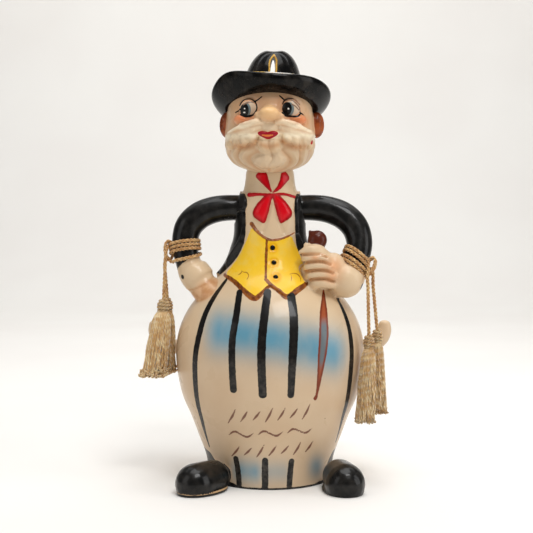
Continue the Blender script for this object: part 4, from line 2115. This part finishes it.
@dataclass(frozen=True)
class Cord:
    """A gold cord wound round one sleeve, with its two ends hanging."""

    side: Side
    sleeve: tuple[Point, ...]
    coil_at: float
    sleeve_radius: float
    turns: float
    start_degrees: float
    slant: float
    gap: float
    lead_in: tuple[Point, ...]
    lead_out: tuple[Point, ...]
    tassels: tuple[Tassel, Tassel]
    hitch_degrees: float
    raised: float = 0.0
    tilt: float = 0.0
    diameter: float = 2.6
    spacing: float = 2.72
    step: float = 0.55

    def frame(self) -> tuple[np.ndarray, np.ndarray, np.ndarray, np.ndarray]:
        """Gives the coil's middle, the way down the sleeve, the way outwards and the way back."""
        line = smooth_path(self.sleeve, 401)
        i = round(self.coil_at * 400)
        down = line[i + 4] - line[i - 4]
        down = down / np.linalg.norm(down)
        outwards = np.array([float(self.side.value), 0.0, 0.0])
        outwards = outwards - down * float(outwards @ down)
        outwards = outwards / np.linalg.norm(outwards)
        back = np.cross(down, outwards)
        back = back if back[1] > 0 else -back
        return line[i], down, outwards, back

    def turn_point(self, degrees: float, offset: float, out: float = 0.0) -> np.ndarray:
        """Gives a point of the winding by its direction round the sleeve and its place along it."""
        middle, down, outwards, back = self.frame()
        angle = math.radians(degrees)
        radius = self.sleeve_radius + self.diameter / 2 + out
        return middle + down * offset + radius * (math.cos(angle) * outwards + math.sin(angle) * back)

    def path(self) -> np.ndarray:
        """Gives the cord's middle line from one tassel to the other, in millimetres."""
        points = [np.array(point, float) for point in self.lead_in]
        marks = 16
        full = round(abs(self.turns) * marks)
        way = 1 if self.turns > 0 else -1
        for i in range(full + 1):
            share = i / full
            turn = i / marks
            first = -self.spacing * (abs(self.turns) - 1) / 2
            offset = first + self.spacing * turn
            offset += self.slant * float(smoothstep(turn, abs(self.turns) - 0.62, abs(self.turns) - 0.12))
            offset += self.gap * float(smoothstep(share, 0.42, 0.62)) - self.gap / 2 - self.raised
            offset += self.tilt * math.cos(math.radians(self.start_degrees + way * 360 * turn))
            points.append(self.turn_point(self.start_degrees + way * 360 * turn, offset))
        points += [np.array(point, float) for point in self.lead_out]
        rough = smooth_path(points, 2000)
        length = float(np.linalg.norm(np.diff(rough, axis=0), axis=1).sum())
        return smooth_path(points, round(length / self.step) + 1)

    def build(self) -> bpy.types.Object:
        """Returns:
            The cord.
        """
        path = self.path()
        work = bmesh.new()
        rope(work, path, self.diameter, 8.2)
        bmesh.ops.recalc_face_normals(work, faces=work.faces)
        name = self.side.name.lower()
        piece = piece_from(f"{name}_cord", work)
        length = float(np.linalg.norm(np.diff(path, axis=0), axis=1).sum())
        piece.data.materials.append(ROPE_SILK.material(f"{name}_cord_silk", length / 1.5, 2.0))
        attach(piece, "root")
        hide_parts(f"{name}_cord_coil", f"{name}_cord_tail_front", f"{name}_cord_tail_back")
        with_it = [self.build_hitch()]
        for tassel in self.tassels:
            hung = tassel.build()
            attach(hung, "root")
            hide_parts(tassel.name.replace("_fringe", ""))
            with_it.append(hung)
        log.info("%s cord: %.0f mm long, %d triangles", name, length, len(piece.data.polygons) * 2)
        return piece

    def build_hitch(self) -> bpy.types.Object:
        """Makes the short loop that ties the cord's two ends to its turns.

        Returns:
            The loop, which belongs to the cord.
        """
        middle, down, outwards, back = self.frame()
        angle = math.radians(self.hitch_degrees)
        radial = math.cos(angle) * outwards + math.sin(angle) * back
        along = -math.sin(angle) * outwards + math.cos(angle) * back
        centre = middle + radial * (self.sleeve_radius + self.diameter * 0.9)
        work = bmesh.new()
        for shift in (-1.25, 1.25):
            ring = []
            for turn in np.linspace(0, 2 * math.pi, 40, endpoint=False):
                tall, deep = 6.2 * math.cos(turn), 2.9 * math.sin(turn)
                ring.append(centre + along * (shift + 0.4 * math.cos(turn)) + down * tall + radial * deep)
            rope(work, smooth_path([*ring, ring[0]], 68), self.diameter * 0.86, 7.0)
        bmesh.ops.recalc_face_normals(work, faces=work.faces)
        name = self.side.name.lower()
        piece = piece_from(f"{name}_cord_hitch", work)
        piece.data.materials.append(ROPE_SILK.material(f"{name}_hitch_silk", 20.0, 2.0))
        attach(piece, "root")
        return piece


def cords() -> list[Cord]:
    """Gives the two cords, whose hanging ends follow the part's source."""
    left_front = Tassel(
        "left_tassel_front_fringe", (-73.4, -12, 125.2), (-7.6, -2), 45, 17, 100, 0.78, 1.3, 8.8, seed=11,
    )
    left_back = Tassel(
        "left_tassel_back_fringe", (-71.8, -1.4, 124.6), (-1, 3.4), 44, 13, 70, 0.74, 1.0, seed=12,
    )
    right_front = Tassel(
        "right_tassel_front_fringe", (67.2, -25.4, 101.4), (-3, -2.4), 51, 13.5, 190, 0.42, seed=13,
    )
    right_back = Tassel(
        "right_tassel_back_fringe", (73.8, -15.6, 104.4), (1.8, 2), 50, 11, 150, 0.42, seed=14,
    )
    left = Cord(
        side=Side.LEFT,
        sleeve=LEFT_SLEEVE,
        coil_at=0.845,
        sleeve_radius=8.9,
        turns=3.86,
        start_degrees=25,
        slant=4.2,
        gap=0.0,
        lead_in=(
            (-73.4, -12, 124.2), (-73.3, -11.6, 130), (-73.1, -11, 136), (-72.8, -10.4, 142),
            (-72.6, -9.8, 148),
            (-72.4, -9.2, 153.5), (-72, -8, 158.4), (-70.8, -5.2, 161.6),
        ),
        lead_out=(
            (-72.2, -5.8, 152.6), (-73.4, -4.4, 147.6), (-73, -3.6, 142), (-72.6, -2.8, 136),
            (-72.2, -2, 130), (-71.8, -1.4, 123.6),
        ),
        tassels=(left_front, left_back),
        hitch_degrees=-8,
        raised=2.0,
    )
    right = Cord(
        side=Side.RIGHT,
        sleeve=RIGHT_SLEEVE,
        coil_at=0.92,
        sleeve_radius=8.9,
        turns=-3.8,
        start_degrees=-42,
        slant=0.0,
        gap=1.6,
        lead_in=(
            (67.2, -25.4, 100.4), (67.1, -25.1, 107), (66.9, -24.8, 114), (66.8, -24.4, 121),
            (66.7, -24, 128), (66.6, -23.7, 134.4), (66.2, -23.5, 139.8),
        ),
        lead_out=(
            (70, -13.2, 146.2), (70.6, -16.2, 142.4), (70.6, -17.2, 136), (71.2, -17, 129),
            (72, -16.6, 121), (72.9, -16.1, 112), (73.8, -15.6, 103.4),
        ),
        tassels=(right_front, right_back),
        hitch_degrees=-20,
        tilt=3.0,
    )
    return [left, right]


# The studio


@dataclass(frozen=True)
class Studio:
    """The camera at the photograph's place, the pale floor and the soft lights."""

    camera_place: Point = (-2.45, -800.0, 177.8)
    pitch_degrees: float = 2.2
    focal_pixels: float = 1142.9
    sensor: float = 36.0

    def build(self) -> None:
        """Sets up the camera, the floor and the lights."""
        self.set_camera()
        self.lay_floor()
        self.hang_lights()
        bpy.context.scene.view_settings.view_transform = "Standard"

    def set_camera(self) -> None:
        """Puts the camera where the photograph was taken."""
        lens = bpy.data.cameras.new("camera")
        lens.sensor_width = self.sensor
        lens.lens = self.focal_pixels / FRAME_PIXELS * self.sensor
        lens.clip_start = 0.01
        camera = bpy.data.objects.new("camera", lens)
        camera.location = Vector(self.camera_place) * MM
        camera.rotation_euler = (math.radians(90 - self.pitch_degrees), 0, 0)
        bpy.context.scene.collection.objects.link(camera)
        bpy.context.scene.camera = camera

    def lay_floor(self) -> None:
        """Lays a pale floor that curves up into the backdrop."""
        work = bmesh.new()
        near, far, half_width, bend = -2400.0, 1400.0, 3000.0, 700.0
        bmesh.ops.create_grid(work, x_segments=4, y_segments=60, size=0.5)
        for vertex in work.verts:
            along = near + (far + 2400 - near) * (vertex.co.y + 0.5)
            if along < far:
                y, z = along, 0.0
            elif along < far + bend * math.pi / 2:
                angle = (along - far) / bend
                y, z = far + bend * math.sin(angle), bend * (1 - math.cos(angle))
            else:
                y, z = far + bend, bend + along - far - bend * math.pi / 2
            vertex.co = Vector((vertex.co.x * 2 * half_width, y, z - 0.05)) * MM
        floor = piece_from("floor", work)
        mixing = Mixing("floor_paper")
        colour = mixing.over(
            srgb(246, 244, 240), srgb(243, 240, 236), mixing.rise(mixing.noise(300.0), 0.3, 0.7),
        )
        floor.data.materials.append(mixing.finish(colour, 0.9, None, Specular_IOR_Level=0.15))

    def hang_lights(self) -> None:
        """Hangs the softboxes and lights the air."""
        boxes = (
            ("top", (60, -60, 1500), (0, 0, 0), (1000, 900), 12.0),
            ("key", (330, -800, 1280), (0, 0, 150), (520, 420), 8.2),
            ("fill", (-1050, -650, 520), (0, 0, 130), (700, 900), 2.2),
            ("side", (1100, -350, 420), (0, 0, 130), (500, 900), 3.2),
            ("backdrop", (0, 700, 1700), (0, 2100, 500), (2400, 900), 22.0),
        )
        for name, place, target, size, power in boxes:
            light = bpy.data.lights.new(name, "AREA")
            light.shape = "RECTANGLE"
            light.size, light.size_y = (side * MM for side in size)
            light.energy = power
            lamp = bpy.data.objects.new(name, light)
            lamp.location = Vector(place) * MM
            aim = (Vector(target) - Vector(place)).to_track_quat("-Z", "Y")
            lamp.rotation_euler = aim.to_euler()
            bpy.context.scene.collection.objects.link(lamp)
        world = bpy.data.worlds.new("air")
        world.use_nodes = True
        backdrop = world.node_tree.nodes["Background"]
        backdrop.inputs["Color"].default_value = srgb(250, 247, 242)
        backdrop.inputs["Strength"].default_value = 0.14
        bpy.context.scene.world = world


def dress(piece: bpy.types.Object, slot: str, *nodes: str) -> None:
    """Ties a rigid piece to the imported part.

    Args:
        piece: the piece.
        slot: the record's material slot.
        *nodes: the CAD nodes that it stands for.
    """
    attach(piece, "root")
    if nodes:
        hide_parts(*nodes)
    log.info("%s: %d faces", piece.name, len(piece.data.polygons))


def main() -> None:
    """Builds the decanter round its frame."""
    logging.basicConfig(level=logging.INFO, format="%(message)s")
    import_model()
    Studio().build()
    for cord in cords():
        cord.build()
    body = Body()
    dress(body.build(), "body", "body")
    dress(Buttons().build(body), "body")
    head, hat = Head(), Hat()
    dress(head.build(), "head_stopper", "head_stopper")
    for piece in (
        head.build_plug(), hat.build_crown(), hat.build_brim(), hat.build_ornament(), hat.build_gilt_line(),
    ):
        dress(piece, "head_stopper", "head_stopper")


if __name__ == "__main__":
    main()
